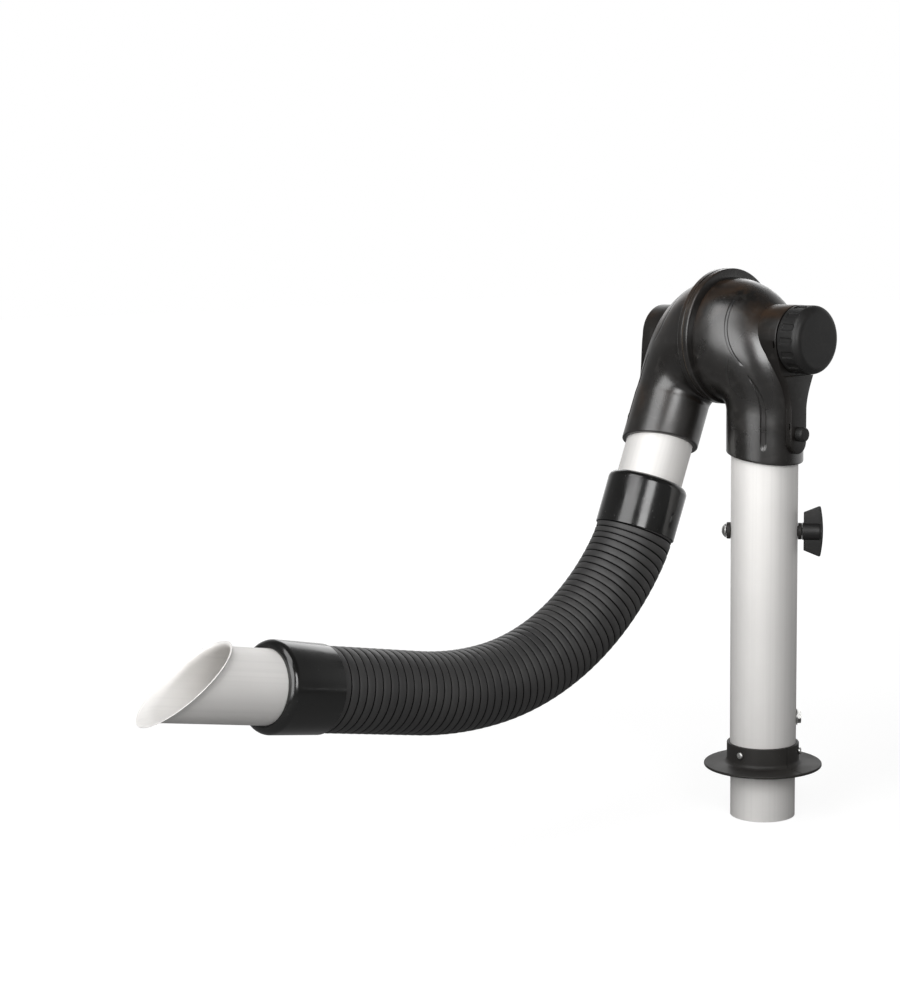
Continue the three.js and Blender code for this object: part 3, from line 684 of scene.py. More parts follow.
hoseEnd = onArm @ alongDuct(hoseLength)
cuffFront = hoseEnd @ Matrix.Translation((0, 0, -duct["lowerLip"] - gap))
makeCuff("upperCuff", "upper_cuff", duct["upperLength"], duct["upperLip"], cuffs["upper"],
         onArm @ Matrix.Translation((0, -armOffset, -duct["cuffStart"])), "arm")
makeCuff("lowerCuff", "lower_cuff", duct["lowerLength"], duct["lowerLip"], cuffs["lower"],
         cuffFront @ Matrix.Rotation(pi, 4, "X"), "hood")

# nozzle: tube with a mouth cut on a slant and flared; the lip is out by a share of the wall and proud
nozzle = {
    "inside": 30, "mouth": 93, "mitre": 44, "turn": -9.5, "wall": 1.25, "flare": 4.9, "flareLength": 15,
    "flareCurve": (1.9, 1.3), "innerProud": 0.4, "innerShorter": 0.6, "lipOut": 0.35, "lipProud": 0.75,
    "steps": 14, "sides": 144,
}


def nozzleSection(radius, along, slope):
    lean = slope * radius / tan(radians(nozzle["mitre"]))
    return section((0, 0, -along), (radius, 0, lean), (0, radius, 0))


def makeNozzle():
    wall, mouth, inside = nozzle["wall"], nozzle["mouth"], nozzle["inside"]
    steps = [i / nozzle["steps"] for i in range(nozzle["steps"] + 1)]
    outCurve, backCurve = nozzle["flareCurve"]
    flare = [(nozzle["flare"] * t ** outCurve, (1 - t) ** backCurve) for t in steps]
    outer = [nozzleSection(tubeRadius + out, mouth - nozzle["flareLength"] * back, 1) for out, back in flare]
    innerMouth, innerLength = mouth + nozzle["innerProud"], nozzle["flareLength"] - nozzle["innerShorter"]
    inner = [nozzleSection(tubeRadius - wall + out, innerMouth - innerLength * back, 1)
             for out, back in reversed(flare)]
    lip = nozzleSection(tubeRadius + nozzle["flare"] - wall * nozzle["lipOut"], mouth + nozzle["lipProud"], 1)
    bm, rings = loft([
        nozzleSection(tubeRadius, -inside, 0), nozzleSection(tubeRadius, 0, 0), *outer, lip, *inner,
        nozzleSection(tubeRadius - wall, 0, 0), nozzleSection(tubeRadius - wall, -inside, 0),
    ], nozzle["sides"])
    place = cuffFront @ Matrix.Rotation(radians(nozzle["turn"]), 4, "Z")
    finishPiece("nozzlePipe", bm, place, nozzleSilver, "nozzle", ["nozzle_pipe"], sharp=40)


makeNozzle()
print("duct made")

# what is screwed to the tubes, with the holes for it
damper = {
    "height": 270, "angle": 128, "hole": 6.4, "bushBore": 4.3, "bushRadius": 6.1, "bushInside": 0.8,
    "rimRadius": 9.4, "rimHeight": 4.3, "rimEdges": (0.2, 0.8), "sides": 56,
}
lockBolt = {
    "height": 56, "angle": 132, "hole": 4.4, "washerRadius": 9.3, "washerThickness": 1,
    "washerEdges": (0.2, 0.3), "headRadius": 7.5, "headHeight": 4, "crownRadius": 8.2, "crownStart": 2.9,
    "crownTop": 6.3, "shankRadius": 4, "shankEnd": 36.25, "shankSides": 40, "overlap": 1, "sides": 56,
}
bracketScrew = {"z": -104, "mastSide": 90, "armSide": 270, "hole": 2.9, "tip": 33.5, "shank": 2.6, "head": 8,
                "headHeight": 9, "headEdges": (0.5, 2.4), "sides": 56}
wallDrill = (30, 45)  # from inside a tube's wall to outside it

# tubes
tubes = {
    "wall": 1.25, "edge": 0.3, "edgeSteps": 3, "sides": 144, "spigotRadius": 36.85, "swivelRadius": 35.95,
    "spigotBottom": -58, "spigotTop": 90, "shoulder": 22.5, "shoulderHalf": 1, "mastBottom": 23.8,
    "mastTop": 397, "armEnd": 201,
}


def plainTube(low, high):
    edge, bore = tubes["edge"], tubeRadius - tubes["wall"]
    outline = [(bore, low, edge), (tubeRadius, low, edge), (tubeRadius, high, edge), (bore, high, edge)]
    return spun(rounded(outline, tubes["edgeSteps"]), tubes["sides"])


def makeTubes():
    edge, half, shoulder = tubes["edge"], tubes["shoulderHalf"], tubes["shoulder"]
    wide, narrow = tubes["spigotRadius"], tubes["swivelRadius"]
    bore = narrow - tubes["wall"]
    outline = rounded([
        (bore, tubes["spigotBottom"], edge), (wide, tubes["spigotBottom"], edge),
        (wide, shoulder - half, half), (narrow, shoulder + half, half),
        (narrow, tubes["spigotTop"], edge), (bore, tubes["spigotTop"], edge),
    ])
    finishPiece("spigotTube", spun(outline, tubes["sides"]), Matrix(), mastSilver, "base",
                ["spigot_tube"])
    holes = [drill(damper["hole"], *wallDrill, outward(damper["angle"], damper["height"])),
             drill(damper["hole"], *wallDrill, outward(damper["angle"] + 180, damper["height"])),
             drill(lockBolt["hole"], *wallDrill, outward(lockBolt["angle"], lockBolt["height"])),
             drill(bracketScrew["hole"], *wallDrill,
                   outward(bracketScrew["mastSide"], jointHeight + bracketScrew["z"]))]
    mast = carved(plainTube(tubes["mastBottom"], tubes["mastTop"]), holes)
    finishPiece("mastTube", mast, Matrix(), mastSilver, "mast", ["mast_tube"])
    hole = drill(bracketScrew["hole"], *wallDrill, outward(bracketScrew["armSide"], bracketScrew["z"]))
    arm = carved(plainTube(-tubes["armEnd"], tubes["mastTop"] - jointHeight), [hole])
    finishPiece("armTube", arm, onArm @ Matrix.Translation((0, -armOffset, 0)), armSilver, "arm",
                ["arm_tube"])


makeTubes()

# base: split flange with its collar; the split's cut goes past the bore and the rim
flange = {
    "radius": 67, "rimHeight": 3, "thickness": 4.5, "collarRadius": 41, "collarTop": 27.4, "fillet": 4.5,
    "edge": 1.1, "footEdge": 1.0, "boreEdge": 0.3, "mouthEdge": 0.5, "sides": 144, "split": 82,
    "splitWidth": 0.8, "splitHeight": 60, "splitMiddle": 10, "pastBore": 2, "pastRim": 10,
    "screwHeight": 18, "screws": (3, 123, 243),
}
collarScrew = {"hole": 2.3, "tip": 32.85, "shank": 2, "head": 3.9, "headHeight": 2.4, "headEdges": (0.2, 1.5),
               "recess": {"radius": 2.0, "width": 0.8, "depth": 1.3}, "sides": 40}


def makeFlange():
    bore, seat, top = tubes["spigotRadius"] + gap, tubeRadius + gap, flange["collarTop"]
    outline = rounded([
        (bore, 0, flange["boreEdge"]), (flange["radius"], 0, flange["footEdge"]),
        (flange["radius"], flange["rimHeight"], flange["edge"]),
        (flange["collarRadius"], flange["thickness"], flange["fillet"]),
        (flange["collarRadius"], top, flange["edge"]), (seat, top, flange["mouthEdge"]),
        (seat, tubes["shoulder"]), (bore, tubes["shoulder"]),
    ])
    start = bore - flange["pastBore"]
    reach = flange["radius"] + flange["pastRim"] - start
    middle = Matrix.Translation((start + reach / 2, 0, flange["splitMiddle"]))
    split = block((reach, flange["splitWidth"], flange["splitHeight"]),
                  Matrix.Rotation(radians(flange["split"]), 4, "Z") @ middle)
    holes = [drill(collarScrew["hole"], *wallDrill, outward(angle, flange["screwHeight"]))
             for angle in flange["screws"]]
    bm = carved(spun(outline, flange["sides"]), [split, *holes])
    finishPiece("benchFlange", bm, Matrix(), flangeBlack, "base", ["bench_flange"])


makeFlange()


def crossRecess(recess, top):
    size = (2 * recess["radius"], recess["width"], 2 * recess["depth"])
    place = Matrix.Translation((0, 0, top))
    return [block(size, place @ Matrix.Rotation(turn, 4, "Z")) for turn in (0, pi / 2)]


def headedScrew(screw, seat):
    # shank and a flat head with a rounded crown
    tip, shank, head, top = screw["tip"], screw["shank"], screw["head"], seat + screw["headHeight"]
    edge, crown = screw["headEdges"]
    outline = rounded([(0, tip), (shank, tip), (shank, seat), (head, seat, edge), (head, top, crown),
                       (0, top)])
    return spun(outline, screw["sides"])


def makeCollarScrews():
    seat = flange["collarRadius"] + gap
    top = seat + collarScrew["headHeight"]
    for i, angle in enumerate(flange["screws"]):
        bm = carved(headedScrew(collarScrew, seat), crossRecess(collarScrew["recess"], top))
        finishPiece(f"collarScrew{i + 1}", bm, outward(angle, flange["screwHeight"]), zincBright, "base",
                    [f"collar_screw_{i + 1}"])


makeCollarScrews()


def makeLockBolt():
    place = outward(lockBolt["angle"], lockBolt["height"])
    low, hole, radius = tubeRadius + gap, lockBolt["hole"], lockBolt["washerRadius"]
    high = low + lockBolt["washerThickness"]
    under, over = lockBolt["washerEdges"]
    washer = rounded([(hole, low), (radius, low, under), (radius, high, over), (hole, high)])
    finishPiece("lockWasher", spun(washer, lockBolt["sides"]), place, zincBright, "mast",
                ["lock_washer"])
    seat, headRadius, headHeight = high + gap, lockBolt["headRadius"], lockBolt["headHeight"]
    bm = bmesh.new()
    bmesh.ops.create_cone(bm, cap_ends=True, segments=6, radius1=headRadius, radius2=headRadius,
                          depth=headHeight, matrix=Matrix.Translation((0, 0, seat + headHeight / 2)))
    # the chamfer on the corners of a turned hexagon
    wide, start, top = lockBolt["crownRadius"], seat + lockBolt["crownStart"], seat + headHeight
    below, above = seat - lockBolt["overlap"], seat + lockBolt["overlap"]
    crown = spun([(0, below), (wide, below), (wide, start), (lockBolt["crownTop"], top), (0, top)],
                 lockBolt["sides"])
    bm = carved(bm, [crown], "INTERSECT")
    shank = drill(lockBolt["shankRadius"], lockBolt["shankEnd"], above, Matrix(), lockBolt["shankSides"])
    bm = carved(bm, [shank], "UNION")
    finishPiece("lockBolt", bm, place, zincBright, "mast", ["lock_bolt"], sharp=25)


makeLockBolt()

# damper: bushes in the mast's wall, a domed screw, and the wing handle
capScrew = {"seat": 42.9, "shank": 2, "shankLength": 9, "head": 8, "rim": 1, "crownRadius": 9, "crownDrop": 4,
            "crownStart": 38.5, "crownSteps": 8, "recess": {"radius": 3.2, "width": 0.8, "depth": 1.6},
            "sides": 56}
wing = {
    "inner": 44, "outer": 60.5, "innerHalf": 21.5, "outerHalf": 28.2, "halfThick": 3.1, "edge": 1.3,
    "edgeSteps": 4, "tip": (2.7, 2), "tipHandles": ((2, -0.4), (2.4, 0.5)), "tipSteps": 6, "bulge": 66.5,
    "bulgeHalf": 9, "rimSteps": 20, "hubRadius": 9.8, "hubStart": 42.5, "hubEnd": 64, "hubEdges": (0.5, 3.2),
    "hubSides": 56, "socket": (4.3, 40, 58.4), "socketSides": 40,
}
damperPlace = Matrix.Translation((0, 0, damper["height"])) @ Matrix.Rotation(radians(damper["angle"]), 4, "Z")
outFromShaft = Matrix.Rotation(pi / 2, 4, "Y")
farSide = Matrix.Rotation(pi, 4, "Z")


def makeBushes():
    bore, neck, rim = damper["bushBore"], damper["bushRadius"], damper["rimRadius"]
    inner, face = tubeRadius - tubes["wall"] - damper["bushInside"], tubeRadius + gap
    top = face + damper["rimHeight"]
    under, over = damper["rimEdges"]
    outline = rounded([(bore, inner), (neck, inner), (neck, face), (rim, face, under), (rim, top, over),
                       (bore, top)])
    for name, nodeName, turn in (("damperBushHandle", "damper_bush_handle_side", Matrix()),
                                 ("damperBushFar", "damper_bush_far_side", farSide)):
        finishPiece(name, spun(outline, damper["sides"]), damperPlace @ turn @ outFromShaft, flangeBlack,
                    "mast", [nodeName])


def makeCapScrew():
    seat, shank, head, radius = capScrew["seat"], capScrew["shank"], capScrew["head"], capScrew["crownRadius"]
    low, start, steps = seat - capScrew["shankLength"], capScrew["crownStart"], capScrew["crownSteps"]
    angles = [radians(start + (90 - start) * k / steps) for k in range(steps)]
    crown = [(radius * cos(a), seat - capScrew["crownDrop"] + radius * sin(a)) for a in angles]
    top = seat - capScrew["crownDrop"] + radius
    rim = seat + capScrew["rim"]
    outline = [(0, low), (shank, low), (shank, seat), (head, seat), (head, rim), *crown, (0, top)]
    bm = carved(spun(outline, capScrew["sides"]), crossRecess(capScrew["recess"], top))
    finishPiece("damperCapScrew", bm, damperPlace @ farSide @ outFromShaft, zincBright, "damper",
                ["damper_cap_screw"])


def makeWing():
    inner, outer, near, far = wing["inner"], wing["outer"], wing["innerHalf"], wing["outerHalf"]
    tipOut, tipIn = wing["tip"]
    side, sideHalf = outer + tipOut, far - tipIn
    first, second = [(outer + out, up - far) for out, up in wing["tipHandles"]]
    tip = interpolate_bezier((outer, -far), first, second, (side, -sideHalf), wing["tipSteps"])[:-1]
    bulge, bulgeHalf = wing["bulge"], wing["bulgeHalf"]
    rim = interpolate_bezier((side, -sideHalf), (bulge, -bulgeHalf), (bulge, bulgeHalf), (side, sideHalf),
                             wing["rimSteps"])
    outline = [(inner, -near), *tip, *rim, *[(x, -z) for x, z in reversed(tip)], (inner, near)]
    plate = slab(outline, -wing["halfThick"], wing["halfThick"], wing["edge"], wing["edgeSteps"])
    radius, start, end = wing["hubRadius"], wing["hubStart"], wing["hubEnd"]
    under, over = wing["hubEdges"]
    hub = spun(rounded([(0, start), (radius, start, under), (radius, end, over), (0, end)]), wing["hubSides"])
    bmesh.ops.transform(hub, matrix=outFromShaft, verts=hub.verts)
    socket = drill(*wing["socket"], outFromShaft, wing["socketSides"])
    bm = carved(carved(plate, [hub], "UNION"), [socket])
    finishPiece("wingHandle", bm, damperPlace, knobBlack, "damper", ["wing_handle"], sharp=30)


makeBushes()
makeCapScrew()
makeWing()
print("mast made")

# elbow: two shells of one form, mirrored across the seam
elbow = {
    "sleeveRadius": 43, "rim": -132, "rimSlant": 9.3, "rimRound": 1.6, "roundSteps": 4, "sleeveSteps": 36,
    "domeRadius": 66, "domeFoot": 73.5, "domeTrim": 3, "wall": 4.5, "pivot": -81.5, "crotch": 2,
    "flangeRadius": 76, "flangeThickness": 6.5, "flangeEdge": 1.5, "flangeLip": 0.4, "flangeFoot": 0.6,
    "seam": 1.5, "tubeEnd": -88.7, "stop": 36.5, "stopSlope": 3, "bends": 36, "sides": 360,
    "lowerCrown": 0, "upperCrown": -4.5, "boltHole": 5.6, "boltDrill": (0, 60), "screwDrill": (33, 48),
}
# a shallow groove up the sleeve, that leans round the dome and narrows to nothing
groove = {"angle": 38, "twist": -23, "twistEnd": 0.55, "halfWidth": 3.7, "leastHalf": 0.4, "depth": 1.2,
          "floor": 0.55, "foot": -111, "footStretch": 2, "taper": (0.02, 0.46)}
flangeFront = -armOffset / 2 + elbow["seam"] / 2
flangeBack = flangeFront + elbow["flangeThickness"]
atBracketScrew = Matrix.Translation((0, 0, bracketScrew["z"])) @ alongY


def sleeveSection(radius, z, slant=0.0):
    return section((0, 0, z), (radius, 0, 0), (0, radius, -radius * tan(radians(slant))))


def twisted(u):
    # the sections turn with the groove
    return Matrix.Rotation(radians(groove["twist"]) * smoothStep(0, groove["twistEnd"], u), 4, "Z")


def flangeSection(radius, y):
    return section((0, y, 0), (radius, 0, 0), (0, 0, radius)) @ twisted(1)


def bendSection(u, inset, crown):
    # sections fan round a line near the crotch and grow from the sleeve's circle to the dome's
    bow, turn = sin(pi * u), u * pi / 2
    ease = smoothStep(0, 1, u)
    sleeve, dome, pivot = elbow["sleeveRadius"], elbow["domeRadius"], elbow["pivot"]
    far = (sleeve - flangeBack) * (1 - ease) + (dome - pivot) * ease + crown * bow
    near = (-flangeBack - sleeve) * (1 - ease) + (-pivot - elbow["domeFoot"]) * ease
    near += elbow["crotch"] * bow * bow
    reach, r = (far + near) / 2, (far - near) / 2 - inset
    return section((0, flangeBack + reach * cos(turn), pivot + reach * sin(turn)),
                   (r - elbow["domeTrim"] * ease, 0, 0), (0, r * cos(turn), r * sin(turn))) @ twisted(u)


def sinkGroove(rings, sections, places):
    for ring, placed, place in zip(rings, sections, places):
        if place is None:
            continue
        z, u = place
        radius = placed.col[0].length
        width = groove["halfWidth"] * (1 - smoothStep(*groove["taper"], u))
        if z < groove["foot"] - groove["footStretch"] * width or width < groove["leastHalf"]:
            continue
        back = placed.inverted()
        for vert in ring:
            local = back @ vert.co
            side = (atan2(local.y, local.x) - radians(groove["angle"])) * radius
            distance = hypot(side, min(z - groove["foot"], 0) / groove["footStretch"]) / width
            sink = groove["depth"] * (1 - smoothStep(groove["floor"], 1.0, distance))
            if sink > 0:
                vert.co = placed @ (local * (1 - sink / radius))


def elbowShell(crown):
    r, rim, slant, rimRound = elbow["sleeveRadius"], elbow["rim"], elbow["rimSlant"], elbow["rimRound"]
    sections, places = [], []

    def add(made, place=None):
        # place is the height on the sleeve and the share of the bend, where the groove may run
        sections.append(made)
        places.append(place)

    for a in quarterTurn(elbow["roundSteps"]):
        add(sleeveSection(r - rimRound + rimRound * sin(a), rim + rimRound - rimRound * cos(a), slant))
    for k in range(1, elbow["sleeveSteps"]):
        t = k / elbow["sleeveSteps"]
        z = rim + rimRound + (elbow["pivot"] - rim - rimRound) * t
        add(sleeveSection(r, z, slant * (1 - t)), (z, 0))
    bends = [k / elbow["bends"] for k in range(elbow["bends"] + 1)]
    for u in bends:
        add(bendSection(u, 0, crown), (0, u))
    edge, outer, lip = elbow["flangeEdge"], elbow["flangeRadius"], elbow["flangeLip"]
    add(bendSection(1, -elbow["flangeFoot"], crown))
    for a in quarterTurn(elbow["roundSteps"]):
        add(flangeSection(outer - edge + edge * sin(a), flangeBack - edge + edge * cos(a)))
    add(flangeSection(outer, flangeFront + lip))
    add(flangeSection(outer - lip, flangeFront))
    add(flangeSection(elbow["domeRadius"] - elbow["wall"], flangeFront))
    for u in reversed(bends[::2]):
        add(bendSection(u, elbow["wall"], crown))
    # the tube's seat
    add(sleeveSection(elbow["stop"], elbow["tubeEnd"] + elbow["stopSlope"]))
    add(sleeveSection(elbow["stop"], elbow["tubeEnd"]))
    add(sleeveSection(tubeRadius + gap, elbow["tubeEnd"]))
    add(sleeveSection(tubeRadius + gap, rim, slant))
    bm, rings = loft(sections, elbow["sides"])
    sinkGroove(rings, sections, places)
    return carved(bm, [drill(elbow["boltHole"], *elbow["boltDrill"], alongY),
                       drill(bracketScrew["hole"], *elbow["screwDrill"], atBracketScrew)])


for name, nodeName, crown, place, body in (
        ("lowerElbowShell", "lower_elbow_shell", elbow["lowerCrown"], onMast, "mast"),
        ("upperElbowShell", "upper_elbow_shell", elbow["upperCrown"], onArm @ mirrored, "arm")):
    finishPiece(name, elbowShell(crown), place, shellFinishes[body], body, [nodeName])
print("elbow shells made")

# brackets: a teardrop boss running down into a narrow spine, cut to fit the shell's outside
bracket = {
    "halfWidth": 13.2, "end": -126, "straight": -76, "neck": -22, "sideHandles": ((4.7, -20), (-1.8, 23)),
    "bossSteps": 40, "sideSteps": 20, "endSteps": 14, "start": 6, "spineTop": -39.8, "knobBoss": 37.4,
    "plainBoss": 33.5, "bossEnd": 45.5, "knobSpine": 49, "plainEdge": (3.0, 5), "bossEdge": (0.8, 3),
    "ridgeEdge": (1.2, 4), "drill": (20, 60), "pocket": 16, "pocketDrill": (37.5, 60), "pocketSides": 64,
    "bossWindow": {"size": (6, 2.6, 7.5), "back": 2.3, "z": -4.5},
    "spineWindow": {"size": (4, 1.6, 7), "back": 2.6, "z": -95},
    "shellCore": 0.5, "shellBelow": 20, "shellBends": 24, "shellSides": 144,
}


def elbowOutside(crown):
    r, core, below = elbow["sleeveRadius"] + gap, bracket["shellCore"], elbow["rim"] - bracket["shellBelow"]
    bends = bracket["shellBends"]
    sections = [sleeveSection(core, below), sleeveSection(r, below)]
    sections += [bendSection(k / bends, -gap, crown) for k in range(bends + 1)]
    sections.append(flangeSection(core, flangeBack))
    return loft(sections, bracket["shellSides"])[0]


def bracketOutline(boss):
    w, low, straight = bracket["halfWidth"], bracket["end"] + bracket["halfWidth"], bracket["straight"]
    neck = radians(bracket["neck"])
    x, z = boss * cos(neck), boss * sin(neck)
    angles = [neck + (pi - 2 * neck) * k / bracket["bossSteps"] for k in range(bracket["bossSteps"] + 1)]
    points = [(boss * cos(a), boss * sin(a)) for a in angles]
    (upperX, upperZ), (lowerX, lowerZ) = bracket["sideHandles"]
    side = interpolate_bezier((-x, z), (-x + upperX, z + upperZ), (-w + lowerX, straight + lowerZ),
                              (-w, straight), bracket["sideSteps"])
    points += [tuple(point) for point in side[1:]]
    angles = [pi + pi * k / bracket["endSteps"] for k in range(bracket["endSteps"] + 1)]
    points += [(w * cos(a), low + w * sin(a)) for a in angles]
    points += [(-point.x, point.y) for point in reversed(side)][:-1]
    return points


def bracketBody(boss, spine):
    outline, start, bossEnd = bracketOutline(boss), bracket["start"], bracket["bossEnd"]
    if spine == bossEnd:
        return slab(outline, start, bossEnd, *bracket["plainEdge"])
    ridge = slab(outline, start, spine, *bracket["ridgeEdge"])
    bmesh.ops.bisect_plane(ridge, geom=everything(ridge), plane_co=(0, 0, bracket["spineTop"]),
                           plane_no=(0, 0, 1), clear_outer=True)
    bmesh.ops.holes_fill(ridge, edges=[edge for edge in ridge.edges if edge.is_boundary])
    return carved(slab(outline, start, bossEnd, *bracket["bossEdge"]), [ridge], "UNION")


def sideWindow(window, x, y):
    return block(window["size"], Matrix.Translation((x, y - window["back"], window["z"])))


def makeBracket(name, nodeName, boss, spine, crown, place, body):
    tools = [elbowOutside(crown), drill(elbow["boltHole"], *bracket["drill"], alongY),
             drill(bracketScrew["hole"], *bracket["drill"], atBracketScrew)]
    if body == "arm":
        tools.append(drill(bracket["pocket"], *bracket["pocketDrill"], alongY, bracket["pocketSides"]))
    else:
        tools.append(sideWindow(bracket["bossWindow"], boss, bracket["bossEnd"]))
        tools.append(sideWindow(bracket["spineWindow"], bracket["halfWidth"], spine))
    bm = carved(bracketBody(boss, spine), tools)
    finishPiece(name, bm, place, shellBlack, body, [nodeName])
    screw = headedScrew(bracketScrew, spine + gap)
    finishPiece(name + "Screw", screw, place @ atBracketScrew, knobBlack, body,
                [nodeName + "_screw"])


makeBracket("lowerBracket", "lower_bracket", bracket["knobBoss"], bracket["knobSpine"], elbow["lowerCrown"],
            onMast, "mast")
makeBracket("upperBracket", "upper_bracket", bracket["plainBoss"], bracket["bossEnd"], elbow["upperCrown"],
            onArm @ mirrored, "arm")

# plug over the bolt's head, and the ring between the flanges
boltCap = {"low": 43.7, "high": 45.9, "edges": (0.2, 0.7), "sides": 64}
sealRing = {"inner": 64.6, "outer": 75, "thickness": 0.9, "sides": 144}


def makeBoltCap():
    low, high, r = boltCap["low"], boltCap["high"], bracket["pocket"] - gap
    under, over = boltCap["edges"]
    bm = spun(rounded([(0, low), (r, low, under), (r, high, over), (0, high)]), boltCap["sides"])
    finishPiece("boltCap", bm, onArm @ mirrored @ alongY, shellBlack, "arm", ["bolt_cap"])


def makeSealRing():
    inner, outer = sealRing["inner"], sealRing["outer"]
    low = -armOffset / 2 - elbow["seam"] / 2 + gap
    high = low + sealRing["thickness"]
    bm = spun([(inner, low), (outer, low), (outer, high), (inner, high)], sealRing["sides"])
    finishPiece("sealRing", bm, onMast @ alongY, fibreBrown, "mast", ["seal_ring"])


makeBoltCap()
makeSealRing()

# friction knob: rounded cap with grip flutes, each a U closed by a plain ring at the back
knob = {
    "radius": 37.4, "start": 47.1, "end": 75, "round": 8.5, "roundSteps": 16, "chamfer": 0.8, "face": 4,
    "insertBore": 12.4, "hub": 14.5, "hollow": 34, "hollowDepth": 9, "sideSteps": 44, "flutes": 15,
    "stepsPerFlute": 24, "fluteHalf": 4.1, "fluteDepth": 1.2, "fluteFloor": 0.72, "fluteBack": 51.5,
    "fluteTop": 64, "fluteSoft": 0.3,
}


def makeKnob():
    low, high, r, chamfer = knob["start"], knob["end"], knob["radius"], knob["chamfer"]
    sideEnd, sideSteps = high - knob["round"], knob["sideSteps"]
    side = [(r, low + chamfer + (sideEnd - low - chamfer) * k / sideSteps) for k in range(sideSteps)]
    crown = rounded([(r, low), (r, high, knob["round"]), (0, high)], knob["roundSteps"])[1:-1]
    bore, floor = knob["insertBore"], high - knob["face"]
    hub, hollow, hollowEnd = knob["hub"], knob["hollow"], low + knob["hollowDepth"]
    outline = [
        (0, floor), (bore, floor), (bore, low), (hub, low), (hub, hollowEnd), (hollow, hollowEnd),
        (hollow, low), (r - chamfer, low), *side, *crown, (0, high),
    ]
    bm = spun(outline, knob["flutes"] * knob["stepsPerFlute"])
    pitch, back, soft = 2 * pi / knob["flutes"], knob["fluteBack"], knob["fluteSoft"]
    for vert in bm.verts:
        radius = hypot(vert.co.x, vert.co.y)
        if radius < r - knob["fluteDepth"]:
            continue
        off = ((atan2(vert.co.y, vert.co.x) + pitch / 2) % pitch - pitch / 2) * radius
        distance = hypot(off, max(vert.co.z - knob["fluteTop"], 0)) / knob["fluteHalf"]
        sink = knob["fluteDepth"] * (1 - smoothStep(knob["fluteFloor"], 1.0, distance))
        sink *= smoothStep(back - soft, back + soft, vert.co.z)
        vert.co.xy *= 1 - sink / radius
    finishPiece("frictionKnob", bm, onMast @ alongY, knobBlack, "knob", ["friction_knob"],
                sharp=40)


makeKnob()
print("elbow made")

# inner pieces keep their CAD shape
for nodeName, material in (
        ("damper_shaft", plainSteel), ("damper_disc", mastSilver), ("damper_screw_1", zincBright),
        ("damper_screw_2", zincBright), ("friction_bolt", zincBright), ("spring_washers", plainSteel),
        ("thrust_washer", plainSteel), ("friction_disc", fibreBrown), ("knob_insert", insertBrass)):
    cadNode = frame["nodes"][nodeName]
    cadNode.material_slots[0].material = material

# floor and backdrop, in metres; floorSpan and roomSpan run from the camera's side to the backdrop's
studio = {
    "floorDrop": 0.0005, "floorSize": 12, "floor": 0.16, "floorRoughness": 0.9, "floorGlow": 0.9,
    "glowSpan": (0.5, 1.8), "floorRoom": 0.08, "floorSpan": (0.6, 2.0), "ambient": 0.15, "room": 0.22,
    "roomSpan": (0.3, 1), "ceiling": 0.25, "ceilingSpan": (0.3, 0.7), "backdropWay": 295,
}
lamps = {
    "key": {"spot": (1.96, 0.2, 0.86), "size": (1.4, 1.35), "power": 25},
    "front": {"spot": (0.96, 1.44, 0.97), "size": (0.7, 0.9), "power": 14.6},
    "top": {"spot": (1.3, -0.1, 1.85), "size": (1.2, 1.2), "power": 15.3},
    "back": {"spot": (-1.35, -1.55, 1.2), "size": (1.6, 1.0), "power": 8},
}
lampAim = Vector((0.12, -0.06, 0.36))


def towardsBackdrop(material, output, span, low):
    # low on the camera's side, 1 on the backdrop's
    coords = node(material, "ShaderNodeTexCoord")
    way = fromAngles(studio["backdropWay"], 0)
    along = node(material, "ShaderNodeVectorMath", {1: way}, operation="DOT_PRODUCT")
    link(material, coords.outputs[output], along.inputs[0])
    return remap(material, along.outputs["Value"], span, (low, 1))


def seenBy(material, soft, gloss, camera):
    # white to the camera and through glass; a gloss sees it too, and the dimmer room on the camera's side
    rays = node(material, "ShaderNodeLightPath")
    strength = tint(material, rays.outputs["Is Glossy Ray"], (soft,) * 3, gloss)
    strength = tint(material, rays.outputs["Is Transmission Ray"], strength, camera)
    return tint(material, rays.outputs["Is Camera Ray"], strength, camera)


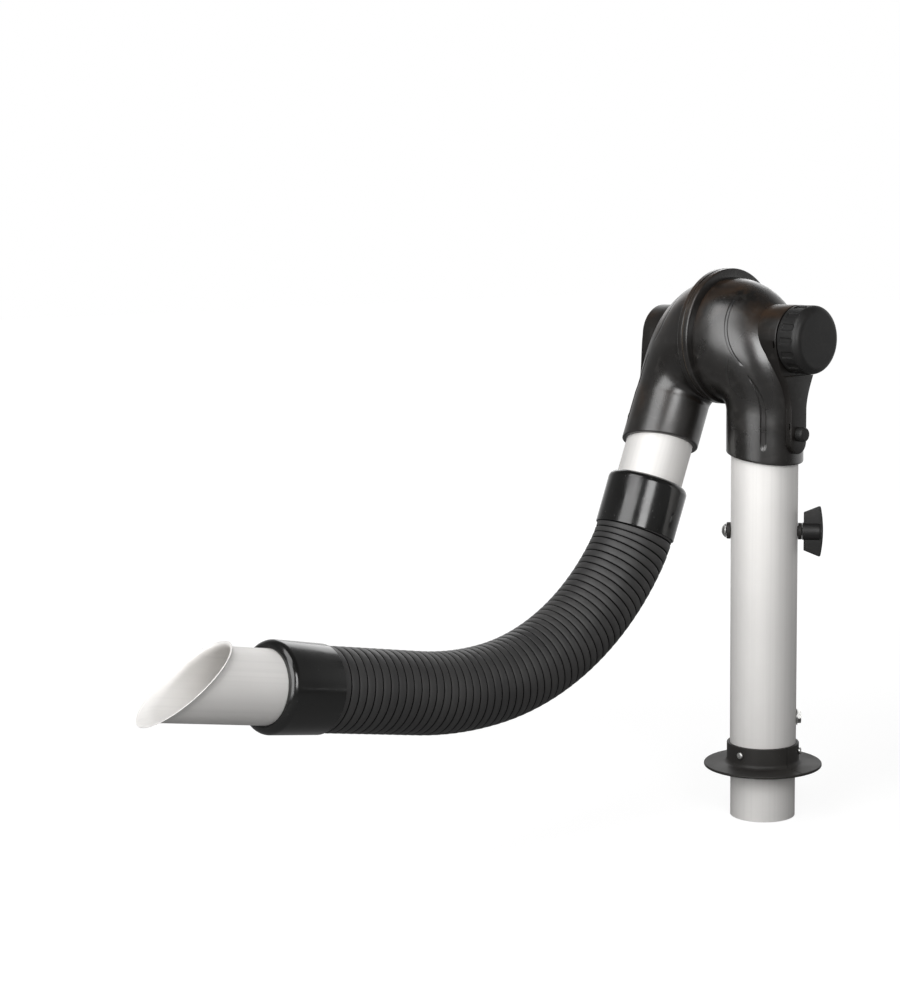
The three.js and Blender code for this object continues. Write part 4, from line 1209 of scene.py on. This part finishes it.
def addFloor():
    bm = bmesh.new()
    bmesh.ops.create_grid(bm, x_segments=1, y_segments=1, size=studio["floorSize"])
    bmesh.ops.translate(bm, verts=bm.verts, vec=(0, 0, cadBox[0][2] - studio["floorDrop"]))
    mesh = bpy.data.meshes.new("floor")
    bm.to_mesh(mesh)
    bm.free()
    material, shader = newMaterial("floorWhite", (studio["floor"],) * 3, studio["floorRoughness"])
    shader.inputs["Specular IOR Level"].default_value = 0
    shader.inputs["Emission Color"].default_value = (1, 1, 1, 1)
    coords = node(material, "ShaderNodeTexCoord")
    distance = node(material, "ShaderNodeVectorMath", operation="LENGTH")
    link(material, coords.outputs["Object"], distance.inputs[0])
    glow = remap(material, distance.outputs["Value"], studio["glowSpan"], (studio["floorGlow"], 1))
    room = towardsBackdrop(material, "Object", studio["floorSpan"], studio["floorRoom"])
    dimmed = product(material, glow, room)
    link(material, seenBy(material, 0, dimmed, glow), shader.inputs["Emission Strength"])
    mesh.materials.append(material)
    floor = bpy.data.objects.new("floor", mesh)
    scene.collection.objects.link(floor)


def addLamps():
    for name, settings in lamps.items():
        data = bpy.data.lights.new(name, "AREA")
        data.shape = "RECTANGLE"
        data.size, data.size_y = settings["size"]
        data.energy = settings["power"]
        lamp = bpy.data.objects.new(name, data)
        spot = Vector(settings["spot"])
        lamp.location = spot
        lamp.visible_camera = False
        lamp.rotation_euler = (lampAim - spot).to_track_quat("-Z", "Y").to_euler()
        scene.collection.objects.link(lamp)


def addWorld():
    world = bpy.data.worlds.new("studio")
    world.use_nodes = True
    scene.world = world
    background = world.node_tree.nodes["Background"]
    background.inputs["Color"].default_value = (1, 1, 1, 1)
    backdrop = towardsBackdrop(world, "Generated", studio["roomSpan"], studio["room"])
    parts = node(world, "ShaderNodeSeparateXYZ")
    link(world, node(world, "ShaderNodeTexCoord").outputs["Generated"], parts.inputs["Vector"])
    ceiling = remap(world, parts.outputs["Z"], studio["ceilingSpan"], (1, studio["ceiling"]))
    gloss = product(world, backdrop, ceiling)
    link(world, seenBy(world, studio["ambient"], gloss, (1, 1, 1)), background.inputs["Strength"])


addFloor()
addLamps()
addWorld()
scene.view_settings.view_transform = "Standard"
print("studio ready")
